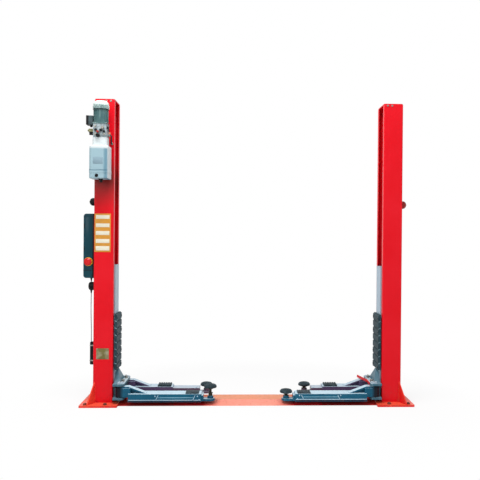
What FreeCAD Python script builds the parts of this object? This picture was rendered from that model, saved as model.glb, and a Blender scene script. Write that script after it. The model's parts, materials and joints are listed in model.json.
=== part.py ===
import FreeCAD, Part
import math
import os
import re
import Sketcher

# Two post car lift with a floor plate between its posts, a power unit high on the left post
# and four telescopic arms. Millimetres, +Z up, +Y away from the viewer, floor at Z 0.
# The origin lies on the floor midway between the posts, on their centre plane.
# Each post is drawn in a post frame: X 0 is the plane of its lips and +X points at the other post.
# The right post is the same drawing turned half round. An arm is drawn from its pivot along +X.
# A size that starts with "=" is worked out from others, so that the power unit hangs from the post's top.

SIZES = {
    # Posts
    "clear_width": 2510,
    "overall_height": 2824,
    "post_depth": 180,
    "post_width": 300,
    "post_sheet": 6,
    "post_lip": 50,
    "post_bend": 8,
    "top_plate_thick": 8,
    "top_plate_corner": 22,
    # Base plates, gussets and anchor holes
    "base_thick": 18,
    "base_half_width": 270,
    "base_inner_reach": 60,
    "base_outer_reach": 105,
    "base_corner": 12,
    "anchor_hole_radius": 10,
    "anchor_spacing_across": 180,
    "anchor_spacing_along": 450,
    "anchor_inner_inset": 55,
    "gusset_thick": 10.6,
    "gusset_root": 9,
    "gusset_spread": 37,
    "gusset_run": 100,
    "gusset_height": 189,
    "gusset_toe": 12,
    # Floor plate and its cover
    "tie_thick": 8,
    "tie_half_width": 100,
    "cover_height": 36,
    "cover_half_top": 95,
    "cover_half_foot": 201,
    "cover_sheet": 4,
    # Lifting cylinders and rams
    "cylinder_inset": 80,
    "cylinder_radius": 36,
    "cylinder_top": 1130,
    "cylinder_foot_radius": 48,
    "cylinder_foot_thick": 14,
    "gland_height": 34,
    "gland_radius": 40,
    "ram_radius": 24,
    "ram_foot": 70,
    "ram_head_length": 90,
    "sheave_radius": 40,
    "sheave_width": 26,
    "sheave_cheek": 8,
    "sheave_pin_radius": 9,
    "sheave_pin_proud": 1,
    "running_gap": 0.3,
    "overrun": 1,
    # Carriages
    "carriage_low": 50,
    "carriage_top": 1290,
    "carriage_face": 10,
    "carriage_half_width": 90,
    "carriage_wall": 10,
    "carriage_back": 140,
    "carriage_brim": 130,
    "slider_height": 120,
    "slider_end": 8,
    "slider_chamfer": 4,
    # Door guards
    "guard_low": 310,
    "guard_high": 835,
    "guard_half_width": 130,
    "guard_base": 15,
    "guard_rib": 9,
    "guard_rib_taper": 6,
    # Arm brackets
    "bracket_reach": 114,
    "bracket_half_width": 205,
    "bracket_corner": 42,
    "bracket_back_thick": 12,
    "bracket_back_half": 120,
    "bracket_back_top": 307,
    "bracket_plate": 20,
    "bracket_top": 200,
    "bracket_bottom": 53,
    "bracket_web": 12,
    "bracket_web_offset": 70,
    "bracket_web_reach": 104,
    "saddle_reach": 46,
    "saddle_peak": 10,
    "saddle_peak_half": 24,
    # Arm pivots and arm locks
    "pin_inset": 75,
    "pin_spread": 155,
    "pin_radius": 20,
    "pin_fit": 0.05,
    "pin_head_radius": 30,
    "pin_head_thick": 10,
    "pin_tail": 7,
    "lock_width": 46,
    "lock_shift": 12,
    "lock_depth": 10,
    "lock_web_gap": 2,
    "lock_height": 26,
    "lock_knob_radius": 14,
    "lock_knob_height": 22,
    "lock_stem_radius": 8,
    "release_bar_height": 24,
    "release_bar_rise": 2,
    "release_bar_thick": 6,
    "release_bar_foot_start": 20,
    "release_bar_foot_end": 150,
    "release_bar_swing": 56,
    "release_bar_end": 200,
    # Outer arms
    "arm_low": 42,
    "arm_height": 72,
    "arm_half_width": 75,
    "arm_wall": 6,
    "arm_start": 78,
    "front_tube_end": 747,
    "rear_tube_end": 457,
    "eye_radius": 46,
    "eye_gap": 5,
    "neck_half_width": 46,
    "neck_reach": 95,
    "neck_lap": 12,
    "gear_thick": 15,
    "gear_tooth": 6,
    "gear_bite": 2,
    "gear_root_half": 4.8,
    "gear_tip_half": 2.1,
    "gear_teeth": 24,
    "strut_half_width": 38,
    "strut_bite": 4,
    "strut_end": 240,
    "strut_foot": 36,
    "strut_web_half": 8,
    # Arm extensions
    "extension_half_width": 65,
    "extension_height": 52,
    "extension_wall": 5,
    "extension_gap": 0.3,
    "extension_back": 90,
    "tongue_gap": 6,
    "tongue_lap": 12,
    "tongue_thick": 20,
    "tongue_half_width": 42,
    "pad_offset": 81,
    "rear_left_out": 240,
    "rear_right_out": 91,
    "front_left_out": 0,
    "front_right_out": 0,
    # Lifting pads on double screws
    "socket_radius": 28,
    "socket_height": 44,
    "sleeve_radius": 18,
    "sleeve_collar_radius": 24,
    "sleeve_collar_thick": 3.5,
    "sleeve_foot": 1,
    "screw_radius": 12,
    "screw_foot": 2,
    "screw_step": 5,
    "dish_radius": 46,
    "dish_rise": 18,
    "dish_thick": 4,
    "pad_radius": 58,
    "pad_height": 30,
    "pad_skirt": 5,
    "pad_rim": 5,
    "pad_crown": 20,
    "pad_round": 6,
    "pad_crown_round": 30,
    "front_left_raise": 24,
    # Power unit on the left post
    "unit_inset": 103,
    "unit_axis_out": 100,
    "unit_standoff": 20,
    "unit_drop": 40,
    "fan_height": 80,
    "motor_height": 132,
    "valve_height": 124,
    "neck_height": 76,
    "tank_height": 297,
    "fan_top": "=overall_height - unit_drop",
    "motor_top": "=fan_top - fan_height",
    "valve_top": "=motor_top - motor_height",
    "neck_top": "=valve_top - valve_height",
    "tank_top": "=neck_top - neck_height",
    "tank_low": "=tank_top - tank_height",
    "unit_bracket_sheet": 8,
    "unit_bracket_rise": 20,
    "unit_seat_inset": 10,
    "tank_half_width": 85,
    "tank_depth": 185,
    "tank_round": 24,
    "tank_shoulder": 12,
    "tank_foot_round": 7,
    "neck_half": 66,
    "neck_half_depth": 60,
    "neck_round": 22,
    "valve_half_width": 60,
    "valve_depth": 140,
    "valve_chamfer": 5,
    "motor_radius": 62,
    "motor_fin": 5,
    "motor_fin_half": 1.7,
    "motor_fin_bite": 3,
    "motor_rim_low": 12,
    "motor_rim_top": 6,
    "motor_fin_count": 24,
    "fan_radius": 71,
    "fan_round": 40,
    "fan_slot_start": 16,
    "fan_slot_end": 42,
    "fan_slot_half": 3,
    "fan_slot_depth": 6,
    "fan_slot_count": 12,
    "terminal_reach": 59,
    "terminal_half_width": 40,
    "terminal_height": 83,
    "terminal_round": 5,
    "terminal_low": "=motor_top - terminal_drop",
    "terminal_drop": 141,
    "solenoid_height": 67,
    "solenoid_stem": 8,
    "solenoid_stem_radius": 8,
    "solenoid_coil": 40,
    "solenoid_radius": 17,
    "solenoid_nut": 9,
    "solenoid_nut_radius": 9,
    "solenoid_plug_half": 11,
    "solenoid_plug_inset": 6,
    "solenoid_plug_drop": 40,
    "lever_height": 92,
    "lever_setback": 20,
    "lever_hub_radius": 12,
    "lever_hub_length": 14,
    "lever_half_width": 4.5,
    "lever_half_thick": 4,
    "lever_run": 15,
    "lever_drop": 52,
    "lever_knob_radius": 9,
    "lever_knob_round": 4,
    "pipe_radius": 6,
    "pipe_out": 24,
    "pipe_rise": 32,
    "pipe_drop": 70,
    # Control box, cable, sensor hood, conduit and latch covers
    "control_low": 1168,
    "control_split": 1238,
    "control_top": 1766,
    "control_depth": 104,
    "control_half_width": 110,
    "control_round": 26,
    "control_edge": 5,
    "control_groove_half": 2,
    "control_groove_depth": 3,
    "stop_height": 1320,
    "stop_inset": 58,
    "stop_plate_radius": 40,
    "stop_plate_thick": 3,
    "stop_radius": 36,
    "stop_crown": 22,
    "stop_neck_radius": 18,
    "stop_neck": 20,
    "stop_shoulder": 28,
    "stop_reach": 40,
    "hood_radius": 39,
    "hood_gap": 38,
    "hood_height": "=control_low - hood_gap - hood_radius",
    "hood_reach": 62,
    "hood_round": 20,
    "conduit_low": 359,
    "conduit_top": 571,
    "conduit_out": 46,
    "conduit_round": 12,
    "conduit_half_width": 17,
    "cable_radius": 4,
    "cable_out": 39,
    "cable_side": -60,
    "latch_radius": 37,
    "latch_gap": 77,
    "latch_height": "=control_top + latch_gap + latch_radius",
    "latch_out": 70,
    "latch_round": 32,
}

# Counts that shape an outline
GUARD_RIBS = 8
LOCK_TEETH = 4

# The loose run of the control cable: distance in from cable_out, shift along the row, height
CABLE_ROUTE = [
    (0, -1, 985),
    (-1, -3, 885),
    (1, -3, 785),
    (4, -1, 690),
]

document = FreeCAD.newDocument("two_post_lift")
sheet = document.addObject("Spreadsheet::Sheet", "Sizes")
for row, (word, number) in enumerate(SIZES.items(), start=1):
    sheet.set(f"A{row}", word)
    sheet.set(f"B{row}", str(number))
    sheet.setAlias(f"B{row}", word)
document.recompute()


def bound(text):
    """An expression on the sheet, from a sum written with the plain words of SIZES."""
    return re.sub(r"[a-z_]+", lambda found: "Sizes." + found[0] if found[0] in SIZES else found[0], str(text))


def value(text):
    """What such a sum comes to, in millimetres."""
    return float(sheet.evalExpression(bound(text)))


# Sketches and features

def new_body(label):
    body = document.addObject("PartDesign::Body", label)
    body.Label = label
    return body


def origin_plane(body, role):
    return [item for item in body.Origin.OriginFeatures if item.Role == role][0]


def pin_point(drawing, edge, end, across, along):
    for kind, sum_text in (("DistanceX", across), ("DistanceY", along)):
        number = drawing.addConstraint(Sketcher.Constraint(kind, -1, 1, edge, end, value(sum_text)))
        drawing.setExpression(f"Constraints[{number}]", bound(sum_text))


def draw(body, plane, loops, offset="0"):
    """A sketch of closed outlines, each a list of corners or ("circle", across, along, radius)."""
    drawing = body.newObject("Sketcher::SketchObject", body.Name + "_sketch")
    drawing.AttachmentSupport = [(origin_plane(body, plane), "")]
    drawing.MapMode = "FlatFace"
    drawing.setExpression("AttachmentOffset.Base.z", bound(offset))
    for loop in loops:
        first = drawing.GeometryCount
        if loop[0] == "circle":
            _, across, along, radius = loop
            middle = FreeCAD.Vector(value(across), value(along), 0)
            drawing.addGeometry(Part.Circle(middle, FreeCAD.Vector(0, 0, 1), value(radius)))
            pin_point(drawing, first, 3, across, along)
            number = drawing.addConstraint(Sketcher.Constraint("Radius", first, value(radius)))
            drawing.setExpression(f"Constraints[{number}]", bound(radius))
            continue
        corners = [FreeCAD.Vector(value(across), value(along), 0) for across, along in loop]
        for index, corner in enumerate(corners):
            following = corners[(index + 1) % len(corners)]
            drawing.addGeometry(Part.LineSegment(corner, following))
        for index in range(len(corners)):
            follower = first + (index + 1) % len(corners)
            drawing.addConstraint(Sketcher.Constraint("Coincident", first + index, 2, follower, 1))
        for index, (across, along) in enumerate(loop):
            pin_point(drawing, first + index, 1, across, along)
    return drawing


def extrude(body, kind, plane, loops, low, high):
    """A pad or pocket of the outlines, from low to high along the plane's row axis."""
    start = f"-({high})" if plane == "XZ_Plane" else low
    drawing = draw(body, plane, loops, start)
    feature = body.newObject("PartDesign::" + kind, body.Name + "_" + kind.lower())
    feature.Profile = drawing
    feature.setExpression("Length", bound(f"({high}) - ({low})"))
    if kind == "Pocket":
        feature.Reversed = True
    document.recompute()
    return feature


def pad(body, plane, loops, low, high):
    return extrude(body, "Pad", plane, loops, low, high)


def pocket(body, plane, loops, low, high):
    return extrude(body, "Pocket", plane, loops, low, high)


def revolve(body, profile, kind="Revolution"):
    """A turned solid: the profile is (radius, height) corners in the body's XZ plane."""
    drawing = draw(body, "XZ_Plane", [profile])
    feature = body.newObject("PartDesign::" + kind, body.Name + "_turned")
    feature.Profile = drawing
    feature.ReferenceAxis = (drawing, ["V_Axis"])
    feature.Angle = 360
    document.recompute()
    return feature


def dress(body, kind, radius, wanted):
    """A fillet or chamfer on the edges for which wanted(edge middle, edge direction) is true."""
    base = body.Tip
    names = []
    for index, edge in enumerate(base.Shape.Edges, start=1):
        middle = edge.valueAt((edge.FirstParameter + edge.LastParameter) / 2)
        start = edge.valueAt(edge.FirstParameter)
        finish = edge.valueAt(edge.LastParameter)
        direction = finish - start
        if direction.Length > 0:
            direction.normalize()
        if wanted(middle, direction):
            names.append(f"Edge{index}")
    feature = body.newObject("PartDesign::" + kind, body.Name + "_" + kind.lower())
    feature.Base = (base, names)
    feature.setExpression("Radius" if kind == "Fillet" else "Size", bound(radius))
    document.recompute()
    return feature


def repeat_round(body, features, count):
    """The features again, evenly spaced about the body's Z axis."""
    pattern = body.newObject("PartDesign::PolarPattern", body.Name + "_pattern")
    pattern.Originals = features
    pattern.Axis = (origin_plane(body, "Z_Axis"), [""])
    pattern.Angle = 360
    pattern.setExpression("Occurrences", bound(count))
    body.Tip = pattern
    document.recompute()
    return pattern


def rectangle(left, right, low, high):
    return [(left, low), (right, low), (right, high), (left, high)]


def near(first, second):
    return abs(first - second) < 0.01


# Places

SIDES = {"left": -1, "right": 1}
ROWS = {"front": -1, "rear": 1}


def stand(thing, side, across="0", along="0", up="0"):
    """Moves a piece from its own frame into the post frame of a side; along is the real Y."""
    turn = 0 if side == "left" else 180
    turned = FreeCAD.Rotation(FreeCAD.Vector(0, 0, 1), turn)
    thing.Placement = FreeCAD.Placement(FreeCAD.Vector(0, 0, 0), turned)
    thing.setExpression("Placement.Base.x", bound(f"{SIDES[side]} * (clear_width / 2 - ({across}))"))
    thing.setExpression("Placement.Base.y", bound(along))
    thing.setExpression("Placement.Base.z", bound(up))
    return thing


def together(label, pieces):
    """Separate solids that share one node."""
    group = document.addObject("Part::Compound", label)
    group.Label = label
    group.Links = pieces
    return group


nodes = []


def keep(thing):
    nodes.append(thing)
    return thing


# Posts, base plates and floor plate

def post(side):
    body = new_body(f"{side}_column")
    half = "post_width / 2"
    mouth = "(post_width / 2 - post_lip)"
    outline = [
        ("0", f"-{mouth}"),
        ("0", f"-{half}"),
        ("-post_depth", f"-{half}"),
        ("-post_depth", half),
        ("0", half),
        ("0", mouth),
        ("-post_sheet", mouth),
        ("-post_sheet", f"{half} - post_sheet"),
        ("-post_depth + post_sheet", f"{half} - post_sheet"),
        ("-post_depth + post_sheet", f"-({half} - post_sheet)"),
        ("-post_sheet", f"-({half} - post_sheet)"),
        ("-post_sheet", f"-{mouth}"),
    ]
    pad(body, "XY_Plane", [outline], "base_thick", "overall_height - top_plate_thick")
    outer = (0, -value("post_depth"))
    inner = (-value("post_sheet"), value("post_sheet") - value("post_depth"))
    outer_y = value("post_width") / 2
    inner_y = outer_y - value("post_sheet")

    def outer_corner(middle, direction):
        upright = abs(direction.z) > 0.99
        return upright and near(abs(middle.y), outer_y) and any(near(middle.x, x) for x in outer)

    def inner_corner(middle, direction):
        upright = abs(direction.z) > 0.99
        return upright and near(abs(middle.y), inner_y) and any(near(middle.x, x) for x in inner)

    dress(body, "Fillet", "post_bend", outer_corner)
    dress(body, "Fillet", "post_bend - post_sheet", inner_corner)
    return keep(stand(body, side))


def top_plate(side):
    body = new_body(f"{side}_top_plate")
    outline = rectangle("-post_depth", "0", "-post_width / 2", "post_width / 2")
    pad(body, "XY_Plane", [outline], "overall_height - top_plate_thick", "overall_height")
    dress(body, "Fillet", "top_plate_corner", lambda middle, direction: abs(direction.z) > 0.99)
    return stand(body, side)


def base_plate(side):
    """Base plate with four anchor holes and the two gussets spread outwards from the post."""
    body = new_body(f"{side}_base_plate")
    inner_row = "-anchor_inner_inset"
    outer_row = "-anchor_inner_inset - anchor_spacing_across"
    holes = []
    for row in (inner_row, outer_row):
        for sign in ("-", ""):
            holes.append(("circle", row, f"{sign}anchor_spacing_along / 2", "anchor_hole_radius"))
    outer_end = "-post_depth - base_outer_reach"
    outline = rectangle(outer_end, "base_inner_reach", "-base_half_width", "base_half_width")
    pad(body, "XY_Plane", [outline] + holes, "0", "base_thick")
    corner_x = (value(outer_end), value("base_inner_reach"))

    def plate_corner(middle, direction):
        upright = abs(direction.z) > 0.99
        return upright and near(abs(middle.y), value("base_half_width")) and any(
            near(middle.x, x) for x in corner_x)

    dress(body, "Fillet", "base_corner", plate_corner)
    root = "gusset_root - post_depth"
    tip = "-post_depth - gusset_spread"
    wall = "post_width / 2"
    run_out = "(post_width / 2 + gusset_run)"
    top = "base_thick + gusset_height"
    toe = "base_thick + gusset_toe"
    for sign in ("-", ""):
        footprint = [
            (root, f"{sign}{wall}"),
            (f"{root} + gusset_thick", f"{sign}{wall}"),
            (f"{tip} + gusset_thick", f"{sign}{run_out}"),
            (tip, f"{sign}{run_out}"),
        ]
        pad(body, "XY_Plane", [footprint], "base_thick", top)
        slope = [
            (f"{sign}{wall}", top),
            (f"{sign}{run_out}", toe),
            (f"{sign}({run_out} + overrun)", toe),
            (f"{sign}({run_out} + overrun)", f"{top} + overrun"),
            (f"{sign}{wall}", f"{top} + overrun"),
        ]
        pocket(body, "YZ_Plane", [slope], f"{tip} - overrun", f"{root} + gusset_thick + overrun")
    return keep(stand(body, side))


def floor_tie_plate():
    plate = document.addObject("Part::Box", "floor_tie_plate")
    plate.Label = "floor_tie_plate"
    plate.setExpression("Length", bound("clear_width - 2 * base_inner_reach"))
    plate.setExpression("Width", bound("2 * tie_half_width"))
    plate.setExpression("Height", bound("tie_thick"))
    plate.setExpression("Placement.Base.x", bound("base_inner_reach - clear_width / 2"))
    plate.setExpression("Placement.Base.y", bound("-tie_half_width"))
    return keep(plate)


def floor_cover():
    """Folded sheet over the hoses: a flat top and two ramps down to the floor."""
    body = new_body("floor_cover")
    run = "(cover_half_foot - cover_half_top)"
    foot_wall = f"(cover_sheet * sqrt({run}^2 + cover_height^2) / cover_height)"
    inner_top = f"(cover_half_foot - {foot_wall} - (cover_height - cover_sheet) * {run} / cover_height)"
    outline = [
        ("-cover_half_foot", "0"),
        ("-cover_half_top", "cover_height"),
        ("cover_half_top", "cover_height"),
        ("cover_half_foot", "0"),
        (f"cover_half_foot - {foot_wall}", "0"),
        (inner_top, "cover_height - cover_sheet"),
        (f"-{inner_top}", "cover_height - cover_sheet"),
        (f"{foot_wall} - cover_half_foot", "0"),
    ]
    reach = "clear_width / 2 - base_inner_reach"
    pad(body, "YZ_Plane", [outline], f"-({reach})", reach)
    return keep(body)


# Lifting cylinders inside the posts

def lifting_cylinder(side):
    body = new_body(f"{side}_lifting_cylinder")
    bore = "ram_radius + running_gap"
    foot_top = "base_thick + cylinder_foot_thick"
    revolve(body, [
        ("0", "base_thick"),
        ("cylinder_foot_radius", "base_thick"),
        ("cylinder_foot_radius", foot_top),
        ("cylinder_radius", foot_top),
        ("cylinder_radius", "cylinder_top - gland_height"),
        ("gland_radius", "cylinder_top - gland_height"),
        ("gland_radius", "cylinder_top"),
        (bore, "cylinder_top"),
        (bore, foot_top),
        ("0", foot_top),
    ])
    return keep(stand(body, side, "-cylinder_inset"))


def lifting_ram(side):
    """Chromed ram with the fork and chain roller on its head."""
    body = new_body(f"{side}_lifting_ram")
    head = "cylinder_top + screw_step"
    revolve(body, [("0", "ram_foot"), ("ram_radius", "ram_foot"), ("ram_radius", head), ("0", head)])
    cheek_out = "sheave_width / 2 + sheave_cheek"
    cheek_in = "sheave_width / 2"
    axle = f"{head} + ram_head_length - sheave_radius"
    block = rectangle("-ram_radius", "ram_radius", head, f"{axle} + sheave_pin_radius * 2")
    pad(body, "XZ_Plane", [block], f"-({cheek_out})", cheek_out)
    slot = rectangle("-sheave_radius", "sheave_radius", f"{axle} - sheave_radius", f"{axle} + 2 * sheave_radius")
    pocket(body, "XZ_Plane", [slot], f"-({cheek_in})", cheek_in)
    wheel = ("circle", "0", axle, "sheave_radius - running_gap")
    pad(body, "XZ_Plane", [wheel], f"running_gap - {cheek_in}", f"{cheek_in} - running_gap")
    pin_end = f"({cheek_out} + sheave_pin_proud)"
    pad(body, "XZ_Plane", [("circle", "0", axle, "sheave_pin_radius")], f"-{pin_end}", pin_end)
    return keep(stand(body, side, "-cylinder_inset"))


# Carriages

def carriage(side):
    """Hat section that runs inside the post, with its face just proud of the lips."""
    body = new_body(f"{side}_carriage")
    half = "carriage_half_width"
    inner = "(carriage_half_width - carriage_wall)"
    brim_front = "carriage_wall - carriage_back"
    face_in = "carriage_face - carriage_wall"
    outline = [
        ("carriage_face", f"-{half}"),
        ("carriage_face", half),
        (brim_front, half),
        (brim_front, "carriage_brim"),
        ("-carriage_back", "carriage_brim"),
        ("-carriage_back", inner),
        (face_in, inner),
        (face_in, f"-{inner}"),
        ("-carriage_back", f"-{inner}"),
        ("-carriage_back", "-carriage_brim"),
        (brim_front, "-carriage_brim"),
        (brim_front, f"-{half}"),
    ]
    pad(body, "XY_Plane", [outline], "carriage_low", "carriage_top")
    return keep(stand(body, side))


def slide_blocks(side):
    """Plastic blocks on the brims that guide the carriage between lips, walls and web."""
    blocks = []
    lip_gap = "-post_sheet - running_gap"
    web_gap = "post_sheet + running_gap - post_depth"
    wall_gap = "post_width / 2 - post_sheet - running_gap"
    brim_front = "carriage_wall - carriage_back"
    lows = ("carriage_low + slider_end", "carriage_top - slider_end - slider_height")
    for level, low in enumerate(lows):
        for sign_name, sign in (("front", -1), ("rear", 1)):
            block = new_body(f"{side}_slide_block_{sign_name}_{level}")
            outline = [
                (lip_gap, f"{sign} * carriage_half_width"),
                (lip_gap, f"{sign} * ({wall_gap} - slider_chamfer)"),
                (f"{lip_gap} - slider_chamfer", f"{sign} * ({wall_gap})"),
                (f"{web_gap} + slider_chamfer", f"{sign} * ({wall_gap})"),
                (web_gap, f"{sign} * ({wall_gap} - slider_chamfer)"),
                (web_gap, f"{sign} * carriage_half_width"),
                ("-carriage_back", f"{sign} * carriage_half_width"),
                ("-carriage_back", f"{sign} * carriage_brim"),
                (brim_front, f"{sign} * carriage_brim"),
                (brim_front, f"{sign} * carriage_half_width"),
            ]
            pad(block, "XY_Plane", [outline], low, f"{low} + slider_height")
            blocks.append(stand(block, side))
    return keep(together(f"{side}_slide_blocks", blocks))


def door_guard(side):
    """Black rubber guard with horizontal ribs, on the carriage's face above the bracket."""
    body = new_body(f"{side}_door_guard")
    pitch = f"((guard_high - guard_low) / {GUARD_RIBS})"
    valley = "carriage_face + guard_base"
    crest = "carriage_face + guard_base + guard_rib"
    outline = [("carriage_face", "guard_low")]
    for rib in range(GUARD_RIBS):
        low = f"guard_low + {rib} * {pitch}"
        outline.append((valley, low))
        outline.append((crest, f"{low} + guard_rib_taper"))
        outline.append((crest, f"{low} + {pitch} - 2 * guard_rib_taper"))
        outline.append((valley, f"{low} + {pitch} - guard_rib_taper"))
    outline.append((valley, "guard_high"))
    outline.append(("carriage_face", "guard_high"))
    pad(body, "XZ_Plane", [outline], "-guard_half_width", "guard_half_width")
    return keep(stand(body, side))


def arm_bracket(side):
    """Welded bracket: two pin plates, back plate, webs and the sloped saddle above."""
    body = new_body(f"{side}_arm_bracket")
    inner = "bracket_reach"
    back = "carriage_face"
    outline = rectangle(back, inner, "-bracket_half_width", "bracket_half_width")
    pins = [("circle", "pin_inset", f"{sign}pin_spread", "pin_radius + pin_fit") for sign in ("-", "")]
    stems = []
    for sign in ("-", ""):
        stems.append(("circle", LOCK_REACH, f"{sign}({LOCK_CENTRE})", "lock_stem_radius + pin_fit"))
    pad(body, "XY_Plane", [outline] + pins + stems, "bracket_top - bracket_plate", "bracket_top")
    back_plate = rectangle(back, f"{back} + bracket_back_thick", "-bracket_back_half", "bracket_back_half")
    pad(body, "XY_Plane", [back_plate], "bracket_bottom", "bracket_back_top")
    pad(body, "XY_Plane", [outline] + pins, "bracket_bottom", "bracket_bottom + bracket_plate")
    corner_x = value(inner)
    corner_y = value("bracket_half_width")

    def plate_corner(middle, direction):
        return abs(direction.z) > 0.99 and near(middle.x, corner_x) and near(abs(middle.y), corner_y)

    dress(body, "Fillet", "bracket_corner", plate_corner)
    web = rectangle(f"{back} + bracket_back_thick", "bracket_web_reach",
                    "bracket_bottom + bracket_plate", "bracket_top - bracket_plate")
    pad(body, "XZ_Plane", [web], "bracket_web_offset", "bracket_web_offset + bracket_web")
    pad(body, "XZ_Plane", [web], "-bracket_web_offset - bracket_web", "-bracket_web_offset")
    front = f"{back} + bracket_back_thick"
    saddle = [
        (front, "bracket_top"),
        (front, "bracket_back_top"),
        (f"{front} + saddle_peak", "bracket_back_top"),
        (f"{front} + saddle_reach", "bracket_top"),
    ]
    pad(body, "XZ_Plane", [saddle], "-bracket_back_half", "bracket_back_half")
    for sign in ("-", ""):
        slope = [
            (f"{sign}saddle_peak_half", "bracket_back_top"),
            (f"{sign}bracket_back_half", "bracket_top"),
            (f"{sign}(bracket_back_half + overrun)", "bracket_top"),
            (f"{sign}(bracket_back_half + overrun)", "bracket_back_top + overrun"),
            (f"{sign}saddle_peak_half", "bracket_back_top + overrun"),
        ]
        pocket(body, "YZ_Plane", [slope], f"{back} - overrun", f"{front} + saddle_reach + overrun")
    return keep(stand(body, side))


def pivot_pins(side):
    """Headed pivot pins of both arms, standing in the bracket's plates."""
    pins = []
    for row, sign in ROWS.items():
        body = new_body(f"{side}_{row}_pivot_pin")
        revolve(body, [
            ("0", "bracket_bottom - pin_tail"),
            ("pin_radius", "bracket_bottom - pin_tail"),
            ("pin_radius", "bracket_top"),
            ("pin_head_radius", "bracket_top"),
            ("pin_head_radius", "bracket_top + pin_head_thick"),
            ("0", "bracket_top + pin_head_thick"),
        ])
        pins.append(stand(body, side, "pin_inset", f"{sign} * pin_spread"))
    return keep(together(f"{side}_pivot_pins", pins))


# The lock's stem goes down through the top plate between the web and the gear of the arm's eye.
LOCK_CENTRE = "bracket_web_offset + bracket_web + lock_depth / 2 + lock_web_gap"
LOCK_REACH = "pin_inset + lock_shift"


def arm_locks(side):
    """Toothed lock blocks that drop into the gears of the arm eyes, shown lifted clear."""
    locks = []
    block_top = "bracket_top - bracket_plate"
    for row, sign in ROWS.items():
        body = new_body(f"{side}_{row}_arm_lock")
        inner_face = f"{sign} * (bracket_web_offset + bracket_web)"
        outer_face = f"{sign} * (bracket_web_offset + bracket_web + lock_depth)"
        valley = f"{sign} * (bracket_web_offset + bracket_web + lock_depth - gear_tooth / 2)"
        step = f"(lock_width / {LOCK_TEETH})"
        start = f"{LOCK_REACH} - lock_width / 2"
        outline = [(start, inner_face)]
        for tooth in range(LOCK_TEETH):
            outline.append((f"{start} + {tooth} * {step}", valley))
            outline.append((f"{start} + ({tooth} + 0.5) * {step}", outer_face))
        outline.append((f"{start} + lock_width", valley))
        outline.append((f"{start} + lock_width", inner_face))
        pad(body, "XY_Plane", [outline], f"{block_top} - lock_height", block_top)
        stem = ("circle", LOCK_REACH, f"{sign} * ({LOCK_CENTRE})", "lock_stem_radius")
        knob = ("circle", LOCK_REACH, f"{sign} * ({LOCK_CENTRE})", "lock_knob_radius")
        pad(body, "XY_Plane", [stem], block_top, "bracket_top")
        pad(body, "XY_Plane", [knob], "bracket_top", "bracket_top + lock_knob_height")
        locks.append(stand(body, side))
    return keep(together(f"{side}_arm_locks", locks))


def release_bar():
    """Red bent strip on the edge of the right bracket, the handle of its arm locks."""
    body = new_body("right_release_bar")
    outer = "bracket_reach + release_bar_thick"
    outline = [
        ("bracket_reach", "release_bar_foot_end"),
        ("bracket_reach", "release_bar_foot_start"),
        ("bracket_reach + release_bar_swing", "-release_bar_end"),
        (f"{outer} + release_bar_swing", "-release_bar_end"),
        (outer, "release_bar_foot_start"),
        (outer, "release_bar_foot_end"),
    ]
    low = "bracket_top - bracket_plate + release_bar_rise"
    pad(body, "XY_Plane", [outline], low, f"{low} + release_bar_height")
    return keep(stand(body, "right"))


# Arms, drawn from the pivot along +X

ARM_TOP = "bracket_top - bracket_plate - eye_gap"


def outer_arm(side, row):
    """Box tube with an eye at the pivot, a toothed ring on the eye and a sloped strut."""
    body = new_body(f"{row}_{side}_outer_arm")
    tube_end = f"{row}_tube_end"
    eye_low = "bracket_bottom + bracket_plate + eye_gap"
    gear_low = f"{ARM_TOP} - gear_thick"
    tube = rectangle("arm_start", tube_end, "-arm_half_width", "arm_half_width")
    pad(body, "XY_Plane", [tube], "arm_low", "arm_low + arm_height")
    neck = rectangle("0", "neck_reach", "-neck_half_width", "neck_half_width")
    pad(body, "XY_Plane", [neck], eye_low, gear_low)
    pad(body, "XY_Plane", [("circle", "0", "0", "eye_radius")], eye_low, ARM_TOP)
    tooth = [
        ("eye_radius - gear_bite", "-gear_root_half"),
        ("eye_radius + gear_tooth", "-gear_tip_half"),
        ("eye_radius + gear_tooth", "gear_tip_half"),
        ("eye_radius - gear_bite", "gear_root_half"),
    ]
    first_tooth = pad(body, "XY_Plane", [tooth], gear_low, ARM_TOP)
    repeat_round(body, [first_tooth], "gear_teeth")
    strut_start = "eye_radius - strut_bite"
    tube_top = "arm_low + arm_height"
    root = "neck_reach - neck_lap"
    plate = [
        (strut_start, gear_low),
        (strut_start, ARM_TOP),
        ("arm_start", ARM_TOP),
        ("strut_end", tube_top),
        ("strut_end - strut_foot", tube_top),
        (root, f"{gear_low} + overrun"),
        (root, gear_low),
    ]
    pad(body, "XZ_Plane", [plate], "-strut_half_width", "strut_half_width")
    web = [(root, tube_top), (root, gear_low), ("strut_end - strut_foot", tube_top)]
    pad(body, "XZ_Plane", [web], "-strut_web_half", "strut_web_half")
    wall = "(arm_half_width - arm_wall)"
    inside = rectangle("arm_start + arm_wall", f"{tube_end} + overrun", f"-{wall}", wall)
    pocket(body, "XY_Plane", [inside], "arm_low + arm_wall", "arm_low + arm_height - arm_wall")
    bore = ("circle", "0", "0", "pin_radius + pin_fit")
    pocket(body, "XY_Plane", [bore], f"{eye_low} - overrun", f"{ARM_TOP} + overrun")
    return keep(stand(body, side, "pin_inset", f"{ROWS[row]} * pin_spread"))


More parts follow.
